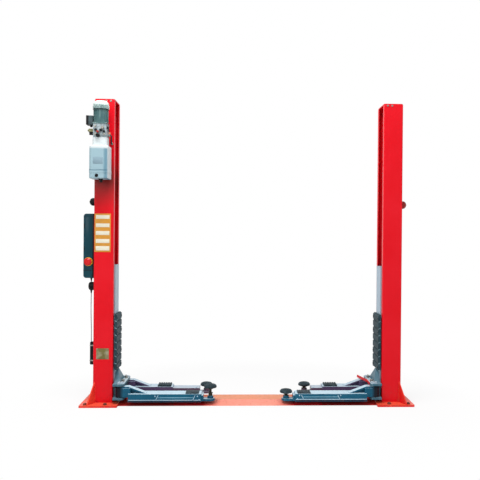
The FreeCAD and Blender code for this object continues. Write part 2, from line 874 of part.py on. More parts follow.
def arm_extension(side, row):
    """Inner tube with the tongue plate and the threaded socket for the pad."""
    body = new_body(f"{row}_{side}_arm_extension")
    out = f"{row}_{side}_out"
    tube_end = f"{row}_tube_end + {out}"
    back = f"extension_back + {out}"
    floor = "arm_low + arm_wall + extension_gap"
    tongue_start = f"{tube_end} + tongue_gap"
    tip = f"{tongue_start} + tongue_lap"
    tube = rectangle(back, tip, "-extension_half_width", "extension_half_width")
    pad(body, "XY_Plane", [tube], floor, f"{floor} + extension_height")
    inside = rectangle(f"{back} - overrun", f"{tip} - extension_wall",
                       "extension_wall - extension_half_width", "extension_half_width - extension_wall")
    pocket(body, "XY_Plane", [inside], f"{floor} + extension_wall", f"{floor} + extension_height - extension_wall")
    centre = f"{tube_end} + pad_offset"
    tongue = rectangle(tongue_start, centre, "-tongue_half_width", "tongue_half_width")
    pad(body, "XY_Plane", [tongue], "arm_low", "arm_low + tongue_thick")
    pad(body, "XY_Plane", [("circle", centre, "0", "tongue_half_width")], "arm_low", "arm_low + tongue_thick")
    pad(body, "XY_Plane", [("circle", centre, "0", "socket_radius")], "arm_low", "arm_low + socket_height")
    bore = ("circle", centre, "0", "sleeve_radius + running_gap")
    pocket(body, "XY_Plane", [bore], "arm_low - overrun", "arm_low + socket_height + overrun")
    return keep(stand(body, side, "pin_inset", f"{ROWS[row]} * pin_spread"))


def raised(side, row):
    return "front_left_raise" if (side, row) == ("left", "front") else "0"


def pad_place(side, row):
    return f"pin_inset + {row}_tube_end + {row}_{side}_out + pad_offset"


SOCKET_TOP = "arm_low + socket_height"
SLEEVE_TOP = f"{SOCKET_TOP} + running_gap + sleeve_collar_thick"
DISH_LOW = f"{SLEEVE_TOP} + screw_step"
DISH_RIM = f"{DISH_LOW} + dish_rise"
PAD_SEAT = f"{DISH_RIM} + dish_thick"


def pad_sleeve(side, row):
    """Outer screw: threaded sleeve with a collar that stops on the socket."""
    body = new_body(f"{row}_{side}_pad_sleeve")
    inner = "screw_radius + running_gap"
    revolve(body, [
        (inner, "arm_low + sleeve_foot"),
        ("sleeve_radius", "arm_low + sleeve_foot"),
        ("sleeve_radius", f"{SOCKET_TOP} + running_gap"),
        ("sleeve_collar_radius", f"{SOCKET_TOP} + running_gap"),
        ("sleeve_collar_radius", SLEEVE_TOP),
        (inner, SLEEVE_TOP),
    ])
    lift = raised(side, row)
    return keep(stand(body, side, pad_place(side, row), f"{ROWS[row]} * pin_spread", lift))


def pad_screw(side, row):
    """Inner screw with the conical steel dish that carries the rubber."""
    body = new_body(f"{row}_{side}_pad_screw")
    revolve(body, [
        ("0", "arm_low + screw_foot"),
        ("screw_radius", "arm_low + screw_foot"),
        ("screw_radius", DISH_LOW),
        ("dish_radius", DISH_RIM),
        ("dish_radius", PAD_SEAT),
        ("0", PAD_SEAT),
    ])
    lift = f"2 * {raised(side, row)}"
    return keep(stand(body, side, pad_place(side, row), f"{ROWS[row]} * pin_spread", lift))


def lifting_pad(side, row):
    """Domed rubber pad that wraps the rim of its dish."""
    body = new_body(f"{row}_{side}_lifting_pad")
    top = f"{PAD_SEAT} + pad_height"
    revolve(body, [
        ("0", PAD_SEAT),
        ("dish_radius", PAD_SEAT),
        ("dish_radius", DISH_RIM),
        ("pad_radius - pad_skirt", DISH_RIM),
        ("pad_radius", PAD_SEAT),
        ("pad_radius", f"{PAD_SEAT} + pad_rim"),
        ("pad_crown", top),
        ("0", top),
    ])
    rim = (value(f"{PAD_SEAT} + pad_rim"), value("pad_radius"))
    crown = (value(top), value("pad_crown"))

    def on_ring(middle, ring):
        return near(middle.z, ring[0]) and near(math.hypot(middle.x, middle.y), ring[1])

    dress(body, "Fillet", "pad_crown_round", lambda middle, direction: on_ring(middle, crown))
    dress(body, "Fillet", "pad_round", lambda middle, direction: on_ring(middle, rim))
    lift = f"2 * {raised(side, row)}"
    return keep(stand(body, side, pad_place(side, row), f"{ROWS[row]} * pin_spread", lift))


# Power unit, in the left post frame turned about the motor's axis

UNIT_FRONT = "-post_width / 2 - unit_axis_out"


def power_unit_bracket():
    body = new_body("power_unit_bracket")
    face = "-post_width / 2"
    plate_top = "valve_top + unit_bracket_rise"
    plate = rectangle("-unit_inset - neck_half", "neck_half - unit_inset", "tank_top", plate_top)
    pad(body, "XZ_Plane", [plate], f"{face} - unit_bracket_sheet", face)
    seat_half = "(valve_half_width - unit_seat_inset)"
    seat = rectangle(f"-unit_inset - {seat_half}", f"{seat_half} - unit_inset",
                     "neck_top + unit_seat_inset", "valve_top - unit_seat_inset")
    pad(body, "XZ_Plane", [seat], f"{face} - unit_standoff", f"{face} - unit_bracket_sheet")
    return keep(stand(body, "left"))


def oil_tank():
    """Moulded tank with rounded corners and shoulders and a narrower top."""
    body = new_body("oil_tank")
    back = "unit_axis_out - unit_standoff"
    front = f"{back} - tank_depth"
    shell = rectangle("-tank_half_width", "tank_half_width", front, back)
    pad(body, "XY_Plane", [shell], "tank_low", "tank_top")
    dress(body, "Fillet", "tank_round", lambda middle, direction: abs(direction.z) > 0.99)
    high = value("tank_top")
    dress(body, "Fillet", "tank_shoulder", lambda middle, direction: near(middle.z, high))
    low = value("tank_low")
    dress(body, "Fillet", "tank_foot_round", lambda middle, direction: near(middle.z, low))
    neck = rectangle("-neck_half", "neck_half", "-neck_half_depth", "neck_half_depth")
    pad(body, "XY_Plane", [neck], "tank_top", "neck_top")
    corner = (value("neck_half"), value("neck_half_depth"))

    def neck_corner(middle, direction):
        return abs(direction.z) > 0.99 and near(abs(middle.x), corner[0]) and near(abs(middle.y), corner[1])

    dress(body, "Fillet", "neck_round", neck_corner)
    return keep(stand(body, "left", "-unit_inset", UNIT_FRONT))


def valve_block():
    body = new_body("valve_block")
    back = "unit_axis_out - unit_standoff"
    block = rectangle("-valve_half_width", "valve_half_width", f"{back} - valve_depth", back)
    pad(body, "XY_Plane", [block], "neck_top", "valve_top")
    dress(body, "Chamfer", "valve_chamfer", lambda middle, direction: abs(direction.z) > 0.99)
    return keep(stand(body, "left", "-unit_inset", UNIT_FRONT))


def solenoid_valve():
    """Lowering valve with its coil and plug, screwed sideways into the valve block."""
    body = new_body("solenoid_valve")
    side = "-valve_half_width"
    height = "neck_top + solenoid_height"
    coil_start = f"{side} - solenoid_stem"
    coil_end = f"{coil_start} - solenoid_coil"
    pad(body, "YZ_Plane", [("circle", "0", height, "solenoid_stem_radius")], coil_start, side)
    pad(body, "YZ_Plane", [("circle", "0", height, "solenoid_radius")], coil_end, coil_start)
    nut = ("circle", "0", height, "solenoid_nut_radius")
    pad(body, "YZ_Plane", [nut], f"{coil_end} - solenoid_nut", coil_end)
    plug = rectangle("-solenoid_plug_half", "solenoid_plug_half", f"{height} - solenoid_plug_drop", height)
    pad(body, "YZ_Plane", [plug], f"{coil_end} + solenoid_plug_inset", f"{coil_start} - solenoid_plug_inset")
    return keep(stand(body, "left", "-unit_inset", UNIT_FRONT))


def release_lever():
    """Hand lever of the lowering valve, hanging at the right of the valve block."""
    body = new_body("release_lever")
    side = "valve_half_width"
    height = "neck_top + lever_height"
    hub = ("circle", "-lever_setback", height, "lever_hub_radius")
    pad(body, "YZ_Plane", [hub], side, f"{side} + lever_hub_length")
    root = f"{side} + lever_hub_length / 2"
    knob_at = f"{root} + lever_run"
    knob_height = f"{height} - lever_drop"
    handle = [
        (f"{root} - lever_half_width", height),
        (f"{root} + lever_half_width", height),
        (f"{knob_at} + lever_half_width", knob_height),
        (f"{knob_at} - lever_half_width", knob_height),
    ]
    pad(body, "XZ_Plane", [handle], "-lever_setback - lever_half_thick", "lever_half_thick - lever_setback")
    knob = ("circle", knob_at, knob_height, "lever_knob_radius")
    pad(body, "XZ_Plane", [knob], "-lever_setback - lever_knob_radius", "lever_knob_radius - lever_setback")
    middle_y = -value("lever_setback")
    half_long = value("lever_knob_radius")
    dress(body, "Fillet", "lever_knob_round",
          lambda middle, direction: near(abs(middle.y - middle_y), half_long))
    return keep(stand(body, "left", "-unit_inset", UNIT_FRONT))


def motor():
    """Finned motor body standing on the valve block."""
    body = new_body("motor")
    pad(body, "XY_Plane", [("circle", "0", "0", "motor_radius")], "valve_top", "motor_top")
    fin = rectangle("motor_radius - motor_fin_bite", "motor_radius + motor_fin", "-motor_fin_half", "motor_fin_half")
    first_fin = pad(body, "XY_Plane", [fin], "valve_top + motor_rim_low", "motor_top - motor_rim_top")
    repeat_round(body, [first_fin], "motor_fin_count")
    return keep(stand(body, "left", "-unit_inset", UNIT_FRONT))


def motor_fan_cover():
    """Domed cover over the fan, with a ring of slots in its top."""
    body = new_body("motor_fan_cover")
    pad(body, "XY_Plane", [("circle", "0", "0", "fan_radius")], "motor_top", "fan_top")
    top = value("fan_top")
    dress(body, "Fillet", "fan_round", lambda middle, direction: near(middle.z, top))
    slot = rectangle("fan_slot_start", "fan_slot_end", "-fan_slot_half", "fan_slot_half")
    first_slot = pocket(body, "XY_Plane", [slot], "fan_top - fan_slot_depth", "fan_top + overrun")
    repeat_round(body, [first_slot], "fan_slot_count")
    return keep(stand(body, "left", "-unit_inset", UNIT_FRONT))


def motor_terminal_box():
    body = new_body("motor_terminal_box")
    inner = "-motor_radius - motor_fin"
    outline = rectangle(f"{inner} - terminal_reach", inner, "-terminal_half_width", "terminal_half_width")
    pad(body, "XY_Plane", [outline], "terminal_low", "terminal_low + terminal_height")
    limit = value(f"{inner} - overrun")
    dress(body, "Fillet", "terminal_round", lambda middle, direction: middle.x < limit)
    return keep(stand(body, "left", "-unit_inset", UNIT_FRONT))


def path_tube(label, points, radius, ratio=0.45):
    """A round bar along straight runs joined by tangent arcs, through points in the row frame."""
    corners = [FreeCAD.Vector(*point) for point in points]
    edges = []
    start = corners[0]
    for before, corner, after in zip(corners, corners[1:], corners[2:]):
        incoming = (corner - before).normalize()
        outgoing = (after - corner).normalize()
        turn = incoming.getAngle(outgoing)
        trim = ratio * min((corner - before).Length, (after - corner).Length)
        arc_start = corner - incoming * trim
        arc_end = corner + outgoing * trim
        inward = (outgoing - incoming).normalize()
        arc_radius = trim / math.tan(turn / 2)
        rise = arc_radius * (1 / math.cos(turn / 2) - 1)
        middle = corner + inward * rise
        print(f"{label} bend radius {arc_radius:.1f} mm")
        edges.append(Part.LineSegment(start, arc_start).toShape())
        edges.append(Part.Arc(arc_start, middle, arc_end).toShape())
        start = arc_end
    edges.append(Part.LineSegment(start, corners[-1]).toShape())
    path = Part.Wire(edges)
    ring = Part.Wire([Part.Circle(corners[0], corners[1] - corners[0], radius).toShape()])
    solid = path.makePipeShell([ring], True, False)
    expected = math.pi * radius ** 2 * path.Length
    print(f"{label} length {path.Length:.1f} mm, volume {solid.Volume / expected:.4f} of section times length")
    tube = document.addObject("Part::Feature", label)
    tube.Label = label
    tube.Shape = solid
    return keep(tube)


def pressure_pipe():
    """Steel pipe from the valve block down beside the tank's neck and into the post."""
    block_side = value("-clear_width / 2 - unit_inset + valve_half_width")
    out = value("pipe_out")
    depth = value("-post_width / 2 - unit_standoff - pipe_out")
    high = value("neck_top + pipe_rise")
    low = high - value("pipe_drop")
    face = value("-post_width / 2")
    points = [
        (block_side, depth, high),
        (block_side + out, depth, high),
        (block_side + out, depth, low),
        (block_side + out, face, low),
    ]
    return path_tube("pressure_pipe", points, value("pipe_radius"))


# Control box, cable and latch covers

def control_box():
    """Box on the outer face of the left post, its lower cover set off by a joint line."""
    body = new_body("control_box")
    outline = rectangle("-post_depth - control_depth", "-post_depth", "-control_half_width", "control_half_width")
    pad(body, "XY_Plane", [outline], "control_low", "control_top")
    outer = value("-post_depth - control_depth")
    inner = value("-post_depth")
    half = value("control_half_width")
    dress(body, "Fillet", "control_round",
          lambda middle, direction: near(middle.x, outer) and abs(direction.y) > 0.99)
    dress(body, "Fillet", "control_edge",
          lambda middle, direction: near(abs(middle.y), half) and not near(middle.x, inner))
    around = rectangle("-post_depth - control_depth - overrun", "overrun - post_depth",
                       "-control_half_width - overrun", "control_half_width + overrun")
    core = rectangle("control_groove_depth - post_depth - control_depth", "2 * overrun - post_depth",
                     "control_groove_depth - control_half_width", "control_half_width - control_groove_depth")
    pocket(body, "XY_Plane", [around, core],
           "control_split - control_groove_half", "control_split + control_groove_half")
    return keep(stand(body, "left"))


def emergency_stop():
    """Mushroom button on a round yellow plate, on the front of the control box."""
    body = new_body("emergency_stop")
    revolve(body, [
        ("0", "0"),
        ("stop_plate_radius", "0"),
        ("stop_plate_radius", "stop_plate_thick"),
        ("stop_neck_radius", "stop_plate_thick"),
        ("stop_neck_radius", "stop_neck"),
        ("stop_radius", "stop_neck"),
        ("stop_radius", "stop_shoulder"),
        ("stop_crown", "stop_reach"),
        ("0", "stop_reach"),
    ])
    body.Placement = FreeCAD.Placement(FreeCAD.Vector(0, 0, 0), FreeCAD.Rotation(FreeCAD.Vector(1, 0, 0), 90))
    body.setExpression("Placement.Base.x", bound("-clear_width / 2 - post_depth - stop_inset"))
    body.setExpression("Placement.Base.y", bound("-control_half_width"))
    body.setExpression("Placement.Base.z", bound("stop_height"))
    return keep(body)


def cable_points():
    """The control cable's route, from the box down through the hood and into the conduit."""
    face = value("-clear_width / 2 - post_depth")
    out = face - value("cable_out")
    side = value("cable_side")
    points = [(out, side, value("control_low")), (out, side, value("hood_height - hood_radius"))]
    for inward, shift, height in CABLE_ROUTE:
        points.append((out + inward, side + shift, height))
    points.append((points[-1][0], points[-1][1], value("conduit_top")))
    return points


def control_cable():
    return path_tube("control_cable", cable_points(), value("cable_radius"))


def dome(body, across, along, radius, reach, rounding):
    """A round cover that stands out from a post's outer face, its end rounded off."""
    outer = f"-post_depth - {reach}"
    pad(body, "YZ_Plane", [("circle", across, along, radius)], outer, "-post_depth")
    end = value(outer)
    dress(body, "Fillet", rounding, lambda middle, direction: near(middle.x, end))


def cable_clips():
    """Round hood below the box and the conduit that takes the cable into the post."""
    hood = new_body("cable_hood")
    dome(hood, "cable_side", "hood_height", "hood_radius", "hood_reach", "hood_round")
    bore = ("circle", "-post_depth - cable_out", "cable_side", "cable_radius + running_gap")
    reach = "(hood_radius + overrun)"
    pocket(hood, "XY_Plane", [bore], f"hood_height - {reach}", f"hood_height + {reach}")
    conduit = new_body("cable_conduit")
    outline = rectangle("-post_depth - conduit_out", "-post_depth",
                        "cable_side - conduit_half_width", "cable_side + conduit_half_width")
    pad(conduit, "XY_Plane", [outline], "conduit_low", "conduit_top")
    outer_face = value("-post_depth - conduit_out")
    dress(conduit, "Fillet", "conduit_round", lambda middle, direction: near(middle.x, outer_face))
    return keep(together("cable_clips", [stand(hood, "left"), stand(conduit, "left")]))


def latch_cover(side):
    """Domed cover over the safety latch on the outer face of a post."""
    body = new_body(f"{side}_latch_cover")
    dome(body, "0", "latch_height", "latch_radius", "latch_out", "latch_round")
    return keep(stand(body, side))


# The whole lift

for side in SIDES:
    post(side)
    base_plate(side)
    lifting_cylinder(side)
    lifting_ram(side)
    carriage(side)
    slide_blocks(side)
    door_guard(side)
    arm_bracket(side)
    pivot_pins(side)
    arm_locks(side)
    latch_cover(side)
    for row in ROWS:
        outer_arm(side, row)
        arm_extension(side, row)
        pad_sleeve(side, row)
        pad_screw(side, row)
        lifting_pad(side, row)

keep(together("column_top_plates", [top_plate(side) for side in SIDES]))
floor_tie_plate()
floor_cover()
release_bar()
power_unit_bracket()
oil_tank()
valve_block()
solenoid_valve()
release_lever()
pressure_pipe()
motor()
motor_fan_cover()
motor_terminal_box()
control_box()
emergency_stop()
control_cable()
cable_clips()

document.recompute()

# Every object is sound before anything is written
for thing in document.Objects:
    bad = [state for state in thing.State if state in ("Invalid", "Error")]
    if bad:
        raise RuntimeError(f"{thing.Label} is {bad}")
for thing in nodes:
    if thing.Shape.isNull() or not thing.Shape.isValid():
        raise RuntimeError(f"{thing.Label} has no valid shape")
    if not thing.Shape.Solids:
        raise RuntimeError(f"{thing.Label} has no solid")

os.makedirs("parts", exist_ok=True)
for thing in nodes:
    thing.Shape.exportStep(f"parts/{thing.Label}.step")
print(len(nodes), "sub-parts written")
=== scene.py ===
# %% [markdown]
# # A two post car lift, dressed around its CAD frame
# The CAD model gives every solid its true place and size, in metres, with the floor at Z 0.
# This lesson adds what a photographer sees: light, colour, wear, bolts, plates and rubber.
# We start from an empty file, because the default cube would otherwise count as a piece.

# %% An empty file and the CAD frame
import json
import math

import bpy
from mathutils import Matrix, Vector

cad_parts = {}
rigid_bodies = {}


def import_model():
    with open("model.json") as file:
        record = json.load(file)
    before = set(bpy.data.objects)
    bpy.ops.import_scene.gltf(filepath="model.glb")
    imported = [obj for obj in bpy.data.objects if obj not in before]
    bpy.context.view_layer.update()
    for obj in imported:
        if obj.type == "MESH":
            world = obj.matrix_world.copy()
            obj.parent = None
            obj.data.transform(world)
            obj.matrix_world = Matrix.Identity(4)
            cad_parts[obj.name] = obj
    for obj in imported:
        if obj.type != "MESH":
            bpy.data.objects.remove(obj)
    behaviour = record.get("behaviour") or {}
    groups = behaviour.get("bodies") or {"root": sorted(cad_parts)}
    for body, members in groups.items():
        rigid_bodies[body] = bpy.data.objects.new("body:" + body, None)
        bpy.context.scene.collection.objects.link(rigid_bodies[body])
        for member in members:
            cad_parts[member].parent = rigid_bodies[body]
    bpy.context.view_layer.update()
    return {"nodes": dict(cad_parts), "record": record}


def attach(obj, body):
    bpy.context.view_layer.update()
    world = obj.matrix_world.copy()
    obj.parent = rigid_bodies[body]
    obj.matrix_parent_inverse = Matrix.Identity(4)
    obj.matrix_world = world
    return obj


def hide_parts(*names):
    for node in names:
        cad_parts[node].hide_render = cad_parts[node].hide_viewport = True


for leftover in list(bpy.data.objects):
    bpy.data.objects.remove(leftover)
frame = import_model()
NODES = frame["nodes"]
SIDES = {"left": -1, "right": 1}
ROWS = {"front": -1, "rear": 1}

# %% [markdown]
# ## The camera
# The photograph was taken from well in front of the lift and low down, at about eye level.
# The lens, the place and the small turns come from fitting the posts, plates and arms to the picture.
# A small sideways shift keeps the uprights parallel, as the photographer's frame does.

# %% Camera
CAMERA_PLACE = (-0.1063, -6.6128, 1.5711)
CAMERA_YAW = math.radians(2.6568)
CAMERA_PITCH = math.radians(-0.2691)
CAMERA_ROLL = math.radians(-0.4776)
LENS = 52.012
SENSOR_WIDTH = 36.0
SHIFT = (-0.06314, -0.00132)
QUARTER_TURN = math.radians(90)

camera_data = bpy.data.cameras.new("photo_camera")
camera_data.lens = LENS
camera_data.sensor_width = SENSOR_WIDTH
camera_data.shift_x, camera_data.shift_y = SHIFT
camera = bpy.data.objects.new("photo_camera", camera_data)
bpy.context.scene.collection.objects.link(camera)
turns = (
    Matrix.Rotation(-CAMERA_YAW, 4, "Z")
    @ Matrix.Rotation(CAMERA_PITCH, 4, "X")
    @ Matrix.Rotation(CAMERA_ROLL, 4, "Y")
    @ Matrix.Rotation(QUARTER_TURN, 4, "X")
)
camera.matrix_world = Matrix.Translation(CAMERA_PLACE) @ turns
bpy.context.scene.camera = camera
print("camera at", CAMERA_PLACE, "lens", LENS)

# %% [markdown]
# ## The control cable
# One grey cable leaves the gland under the control box, passes the round hood and drops to the conduit.
# It is a flexible thing of a fixed length, so it is a smooth NURBS curve through a few given points,
# not a row of straight tubes.

# %% Control cable
CABLE_RADIUS = 0.004
CABLE_ROUNDNESS = 4
CURVE_ORDER = 3
POINT_RADIUS = 0.001
CABLE_ROUTE = (
    (-1.474, -0.06, 1.168),
    (-1.474, -0.06, 1.052),
    (-1.474, -0.061, 0.985),
    (-1.475, -0.063, 0.885),
    (-1.473, -0.063, 0.785),
    (-1.47, -0.061, 0.69),
    (-1.47, -0.061, 0.571),
)


def smooth_run(name, route, radius):
    """A round cable on one open NURBS spline.

    A curve's box grows by the radius of its points, so the points are thin and the bevel makes up for it.
    """
    curve = bpy.data.curves.new(name, "CURVE")
    curve.dimensions = "3D"
    curve.bevel_depth = radius / POINT_RADIUS
    curve.bevel_resolution = CABLE_ROUNDNESS
    spline = curve.splines.new("NURBS")
    spline.points.add(len(route) - 1)
    for point, place in zip(spline.points, route):
        point.co = (*place, 1.0)
        point.radius = POINT_RADIUS
    spline.order_u = CURVE_ORDER
    spline.use_endpoint_u = True
    piece = bpy.data.objects.new(name, curve)
    bpy.context.scene.collection.objects.link(piece)
    return piece


cable = smooth_run("control_cable_run", CABLE_ROUTE, CABLE_RADIUS)
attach(cable, "frame")
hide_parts("control_cable")
print("cable points:", len(CABLE_ROUTE))

# %% [markdown]
# ## Shader groups
# Painted sheet, bare metal and moulded rubber each show a few effects again and again: slow mottling,
# vertical rubbed streaks, dust near the floor, painted light on what faces up, and fine grain. Each effect
# set is one node group with named inputs, built once and placed in every material that needs it.

# %% Colour helpers
# The curve of screen colours: where its straight foot ends, the foot's slope, its offset and power
FOOT_END, FOOT_SLOPE, OFFSET, POWER = 0.04045, 12.92, 0.055, 2.4
FULL_LEVEL = 255


def linear(level):
    """One screen colour level as light."""
    share = level / FULL_LEVEL
    if share <= FOOT_END:
        return share / FOOT_SLOPE
    return ((share + OFFSET) / (1 + OFFSET)) ** POWER


def colour(red, green, blue):
    """A screen colour as a shader colour."""
    return (linear(red), linear(green), linear(blue), 1.0)


print("a red of 217 is", round(linear(217), 3), "as light")

# %% Node helpers
# Sockets of a mix node for colours, by number, because their names come more than once
MIX_SHARE, MIX_FIRST, MIX_SECOND, MIX_RESULT = 0, 6, 7, 2
RISING, FALLING = (0.0, 1.0), (1.0, 0.0)


def new_group(name, colours, numbers):
    """A shader node group: its colour inputs, its number inputs and the outputs that every finish has."""
    group = bpy.data.node_groups.new(name, "ShaderNodeTree")
    for label in colours:
        group.interface.new_socket(label, in_out="INPUT", socket_type="NodeSocketColor")
    for label, value in numbers.items():
        socket = group.interface.new_socket(label, in_out="INPUT", socket_type="NodeSocketFloat")
        socket.default_value = value
    for label, kind in (("Colour", "Color"), ("Roughness", "Float"), ("Height", "Float")):
        group.interface.new_socket(label, in_out="OUTPUT", socket_type=f"NodeSocket{kind}")
    return group, group.nodes.new("NodeGroupInput").outputs, group.nodes.new("NodeGroupOutput").inputs


def feed(tree, socket, source):
    """An input takes a number, a colour or another node's output."""
    if isinstance(source, (int, float, tuple)):
        socket.default_value = source
    else:
        tree.links.new(source, socket)


def deliver(group, out, shade, roughness, height):
    """The three outputs of a finish."""
    for label, source in (("Colour", shade), ("Roughness", roughness), ("Height", height)):
        feed(group, out[label], source)


def noise(tree, scale, detail, stretch=(1, 1, 1)):
    """Noise on object coordinates, stretched along an axis by a small number."""
    place = tree.nodes.new("ShaderNodeTexCoord")
    mapping = tree.nodes.new("ShaderNodeMapping")
    mapping.inputs["Scale"].default_value = stretch
    pattern = tree.nodes.new("ShaderNodeTexNoise")
    feed(tree, pattern.inputs["Scale"], scale)
    pattern.inputs["Detail"].default_value = detail
    tree.links.new(place.outputs["Object"], mapping.inputs["Vector"])
    tree.links.new(mapping.outputs["Vector"], pattern.inputs["Vector"])
    return pattern.outputs["Fac"]


def ranged(tree, source, span, target=RISING):
    """A value spread from one range to another, and held at its ends."""
    node = tree.nodes.new("ShaderNodeMapRange")
    for label, value in zip(("From Min", "From Max", "To Min", "To Max", "Value"), (*span, *target, source)):
        feed(tree, node.inputs[label], value)
    return node.outputs["Result"]


def math_of(tree, operation, first, second=0.0):
    """Two values combined; each is a socket or a number."""
    node = tree.nodes.new("ShaderNodeMath")
    node.operation = operation
    feed(tree, node.inputs[0], first)
    feed(tree, node.inputs[1], second)
    return node.outputs["Value"]


def times(tree, first, second):
    """The product of two values."""
    return math_of(tree, "MULTIPLY", first, second)


def plus(tree, first, second):
    """The sum of two values."""
    return math_of(tree, "ADD", first, second)


def mixed(tree, share, first, second):
    """Two colours mixed by a share between 0 and 1."""
    node = tree.nodes.new("ShaderNodeMix")
    node.data_type = "RGBA"
    for index, source in ((MIX_SHARE, share), (MIX_FIRST, first), (MIX_SECOND, second)):
        feed(tree, node.inputs[index], source)
    return node.outputs[MIX_RESULT]


def axes_of(tree, node_type, output):
    """The X, Y and Z of a node's vector."""
    source = tree.nodes.new(node_type)
    node = tree.nodes.new("ShaderNodeSeparateXYZ")
    tree.links.new(source.outputs[output], node.inputs["Vector"])
    return node.outputs


print("node helpers ready")

# %% [markdown]
# ### Painted steel
# Nearly all of the lift is painted sheet. On a used lift the paint fades in patches, wears off in upright
# streaks and gathers dust near the floor. Light is painted in too: faces that turn up to the lamps are
# painted pale, upright streaks on the motor are painted highlights, and a painted shadow can fall on a
# front face. Each of these is one step of the group, and its colours and shares stay open for each
# material to set.

# %% Painted steel group
MOTTLE_SPAN, MOTTLE_FADE = (0.35, 0.7), (0.0, 0.55)
STREAK_STRETCH, STREAK_SPAN, STREAK_ROUGHNESS = (30, 30, 2.2), (0.58, 0.74), 0.2
UPWARD_SPAN, FRONTWARD_SPAN = (0.35, 0.95), (-0.9, -0.5)
DUST_HEIGHTS, SPECK_SPAN, DUST_SHARE = (0.0, 0.22), (0.5, 0.75), 0.35
# Heights where the painted shadow of the oil tank on the post's front starts and fades
SHADOW_FOOT, SHADOW_HEAD = (1.82, 2.06), (2.1, 2.3)
PAINT_SPAN, PAINT_CHANGE = (0.3, 0.75), (-0.05, 0.09)
PEEL_SHARE = 0.35
OUT_OF_REACH = {"Far start": 8.0, "Far end": 9.0}


def painted_steel_group():
    """Paint with slow mottling, upright streaks, faces that turn up painted pale as lit, and dust near the
    floor.

    Beyond a distance from the lift's middle it can turn to a far colour: painted shade at the arms' roots,
    and at the floor cover's ends a darker red that is partly unworn paint and partly painted shade.
    A painted shadow of the oil tank can fall down a front face below it.
    """
    group, given, out = new_group(
        "painted_steel", ("Paint", "Faded and sheen", "Painted skylight", "Grime and shade", "Far colour and shade"),
        {"Painted skylight share": 0.2, "Rub and sheen share": 0.3, "Roughness": 0.35, "Painted shadow share": 0.0, **OUT_OF_REACH},
    )
    place = axes_of(group, "ShaderNodeTexCoord", "Object")
    normal = axes_of(group, "ShaderNodeNewGeometry", "Normal")
    mottle = noise(group, scale=3.2, detail=3)
    base = mixed(group, ranged(group, mottle, MOTTLE_SPAN, MOTTLE_FADE), given["Paint"], given["Faded and sheen"])
    # Upright streaks towards the second colour: rubbed paint on most finishes, painted highlights on the
    # motor
    streak_noise = noise(group, scale=1.0, detail=6, stretch=STREAK_STRETCH)
    streak_share = times(group, ranged(group, streak_noise, STREAK_SPAN), given["Rub and sheen share"])
    rubbed = mixed(group, streak_share, base, given["Faded and sheen"])
    # Painted light: faces that turn up are mixed towards a paler colour, as if lit from above
    upward = times(group, ranged(group, normal["Z"], UPWARD_SPAN), given["Painted skylight share"])
    lit = mixed(group, upward, rubbed, given["Painted skylight"])
    specks = ranged(group, noise(group, scale=42, detail=5), SPECK_SPAN)
    # Dark specks near the floor: dust, and on the arms also painted shade towards the floor
    dust = times(group, ranged(group, place["Z"], DUST_HEIGHTS, FALLING), specks)
    dusty = mixed(group, times(group, dust, DUST_SHARE), lit, given["Grime and shade"])
    # The far colour: painted shade at the arms' roots; at the cover's ends partly unworn red, partly painted
    # shade
    far_span = (given["Far start"], given["Far end"])
    far_share = ranged(group, math_of(group, "ABSOLUTE", place["X"]), far_span)
    farther = mixed(group, far_share, dusty, given["Far colour and shade"])
    # Painted shadow of the oil tank, on faces that look forward below it
    run = times(group, ranged(group, place["Z"], SHADOW_FOOT), ranged(group, place["Z"], SHADOW_HEAD, FALLING))
    run = times(group, run, ranged(group, normal["Y"], FRONTWARD_SPAN, FALLING))
    shadowed = mixed(group, times(group, run, given["Painted shadow share"]), farther, given["Grime and shade"])
    rough = plus(group, given["Roughness"], ranged(group, mottle, PAINT_SPAN, PAINT_CHANGE))
    peel = times(group, noise(group, scale=340, detail=2), PEEL_SHARE)
    deliver(group, out, shadowed, plus(group, rough, times(group, streak_share, STREAK_ROUGHNESS)),
            plus(group, peel, noise(group, scale=28, detail=3)))
    return group


PAINTED_STEEL = painted_steel_group()
print("group:", PAINTED_STEEL.name)

# %% [markdown]
# ### Bare metal, plastic and rubber
# Cast aluminium, zinc and steel show fine lines under cloudy tarnish. Rubber and plastic have grain and
# a grey bloom where they are touched. Noise at two sizes is enough for either. The oil tank has a group
# of its own, because its darker edge, oil line and white crown lie at fixed places.

# %% Bare metal group
TARNISH_SPAN, TARNISH_RELIEF = (0.4, 0.72), 0.5
LINE_STRETCH, LINE_SPAN, LINE_CHANGE = (14, 14, 120), (0.3, 0.7), (-0.06, 0.1)


def bare_metal_group():
    """Worked metal: fine lines along one way and cloudy tarnish."""
    group, given, out = new_group(
        "bare_metal", ("Metal", "Tarnish"), {"Tarnish share": 0.5, "Roughness": 0.3})
    cloud = ranged(group, noise(group, scale=38, detail=5), TARNISH_SPAN)
    shade = mixed(group, times(group, cloud, given["Tarnish share"]), given["Metal"], given["Tarnish"])
    lines = noise(group, scale=6, detail=4, stretch=LINE_STRETCH)
    deliver(group, out, shade, plus(group, given["Roughness"], ranged(group, lines, LINE_SPAN, LINE_CHANGE)),
            plus(group, lines, times(group, cloud, TARNISH_RELIEF)))
    return group


BARE_METAL = bare_metal_group()
print("group:", BARE_METAL.name)

# %% Moulded group
BLOOM_SPAN, BLOOM_CHANGE = (0.45, 0.75), (-0.05, 0.12)


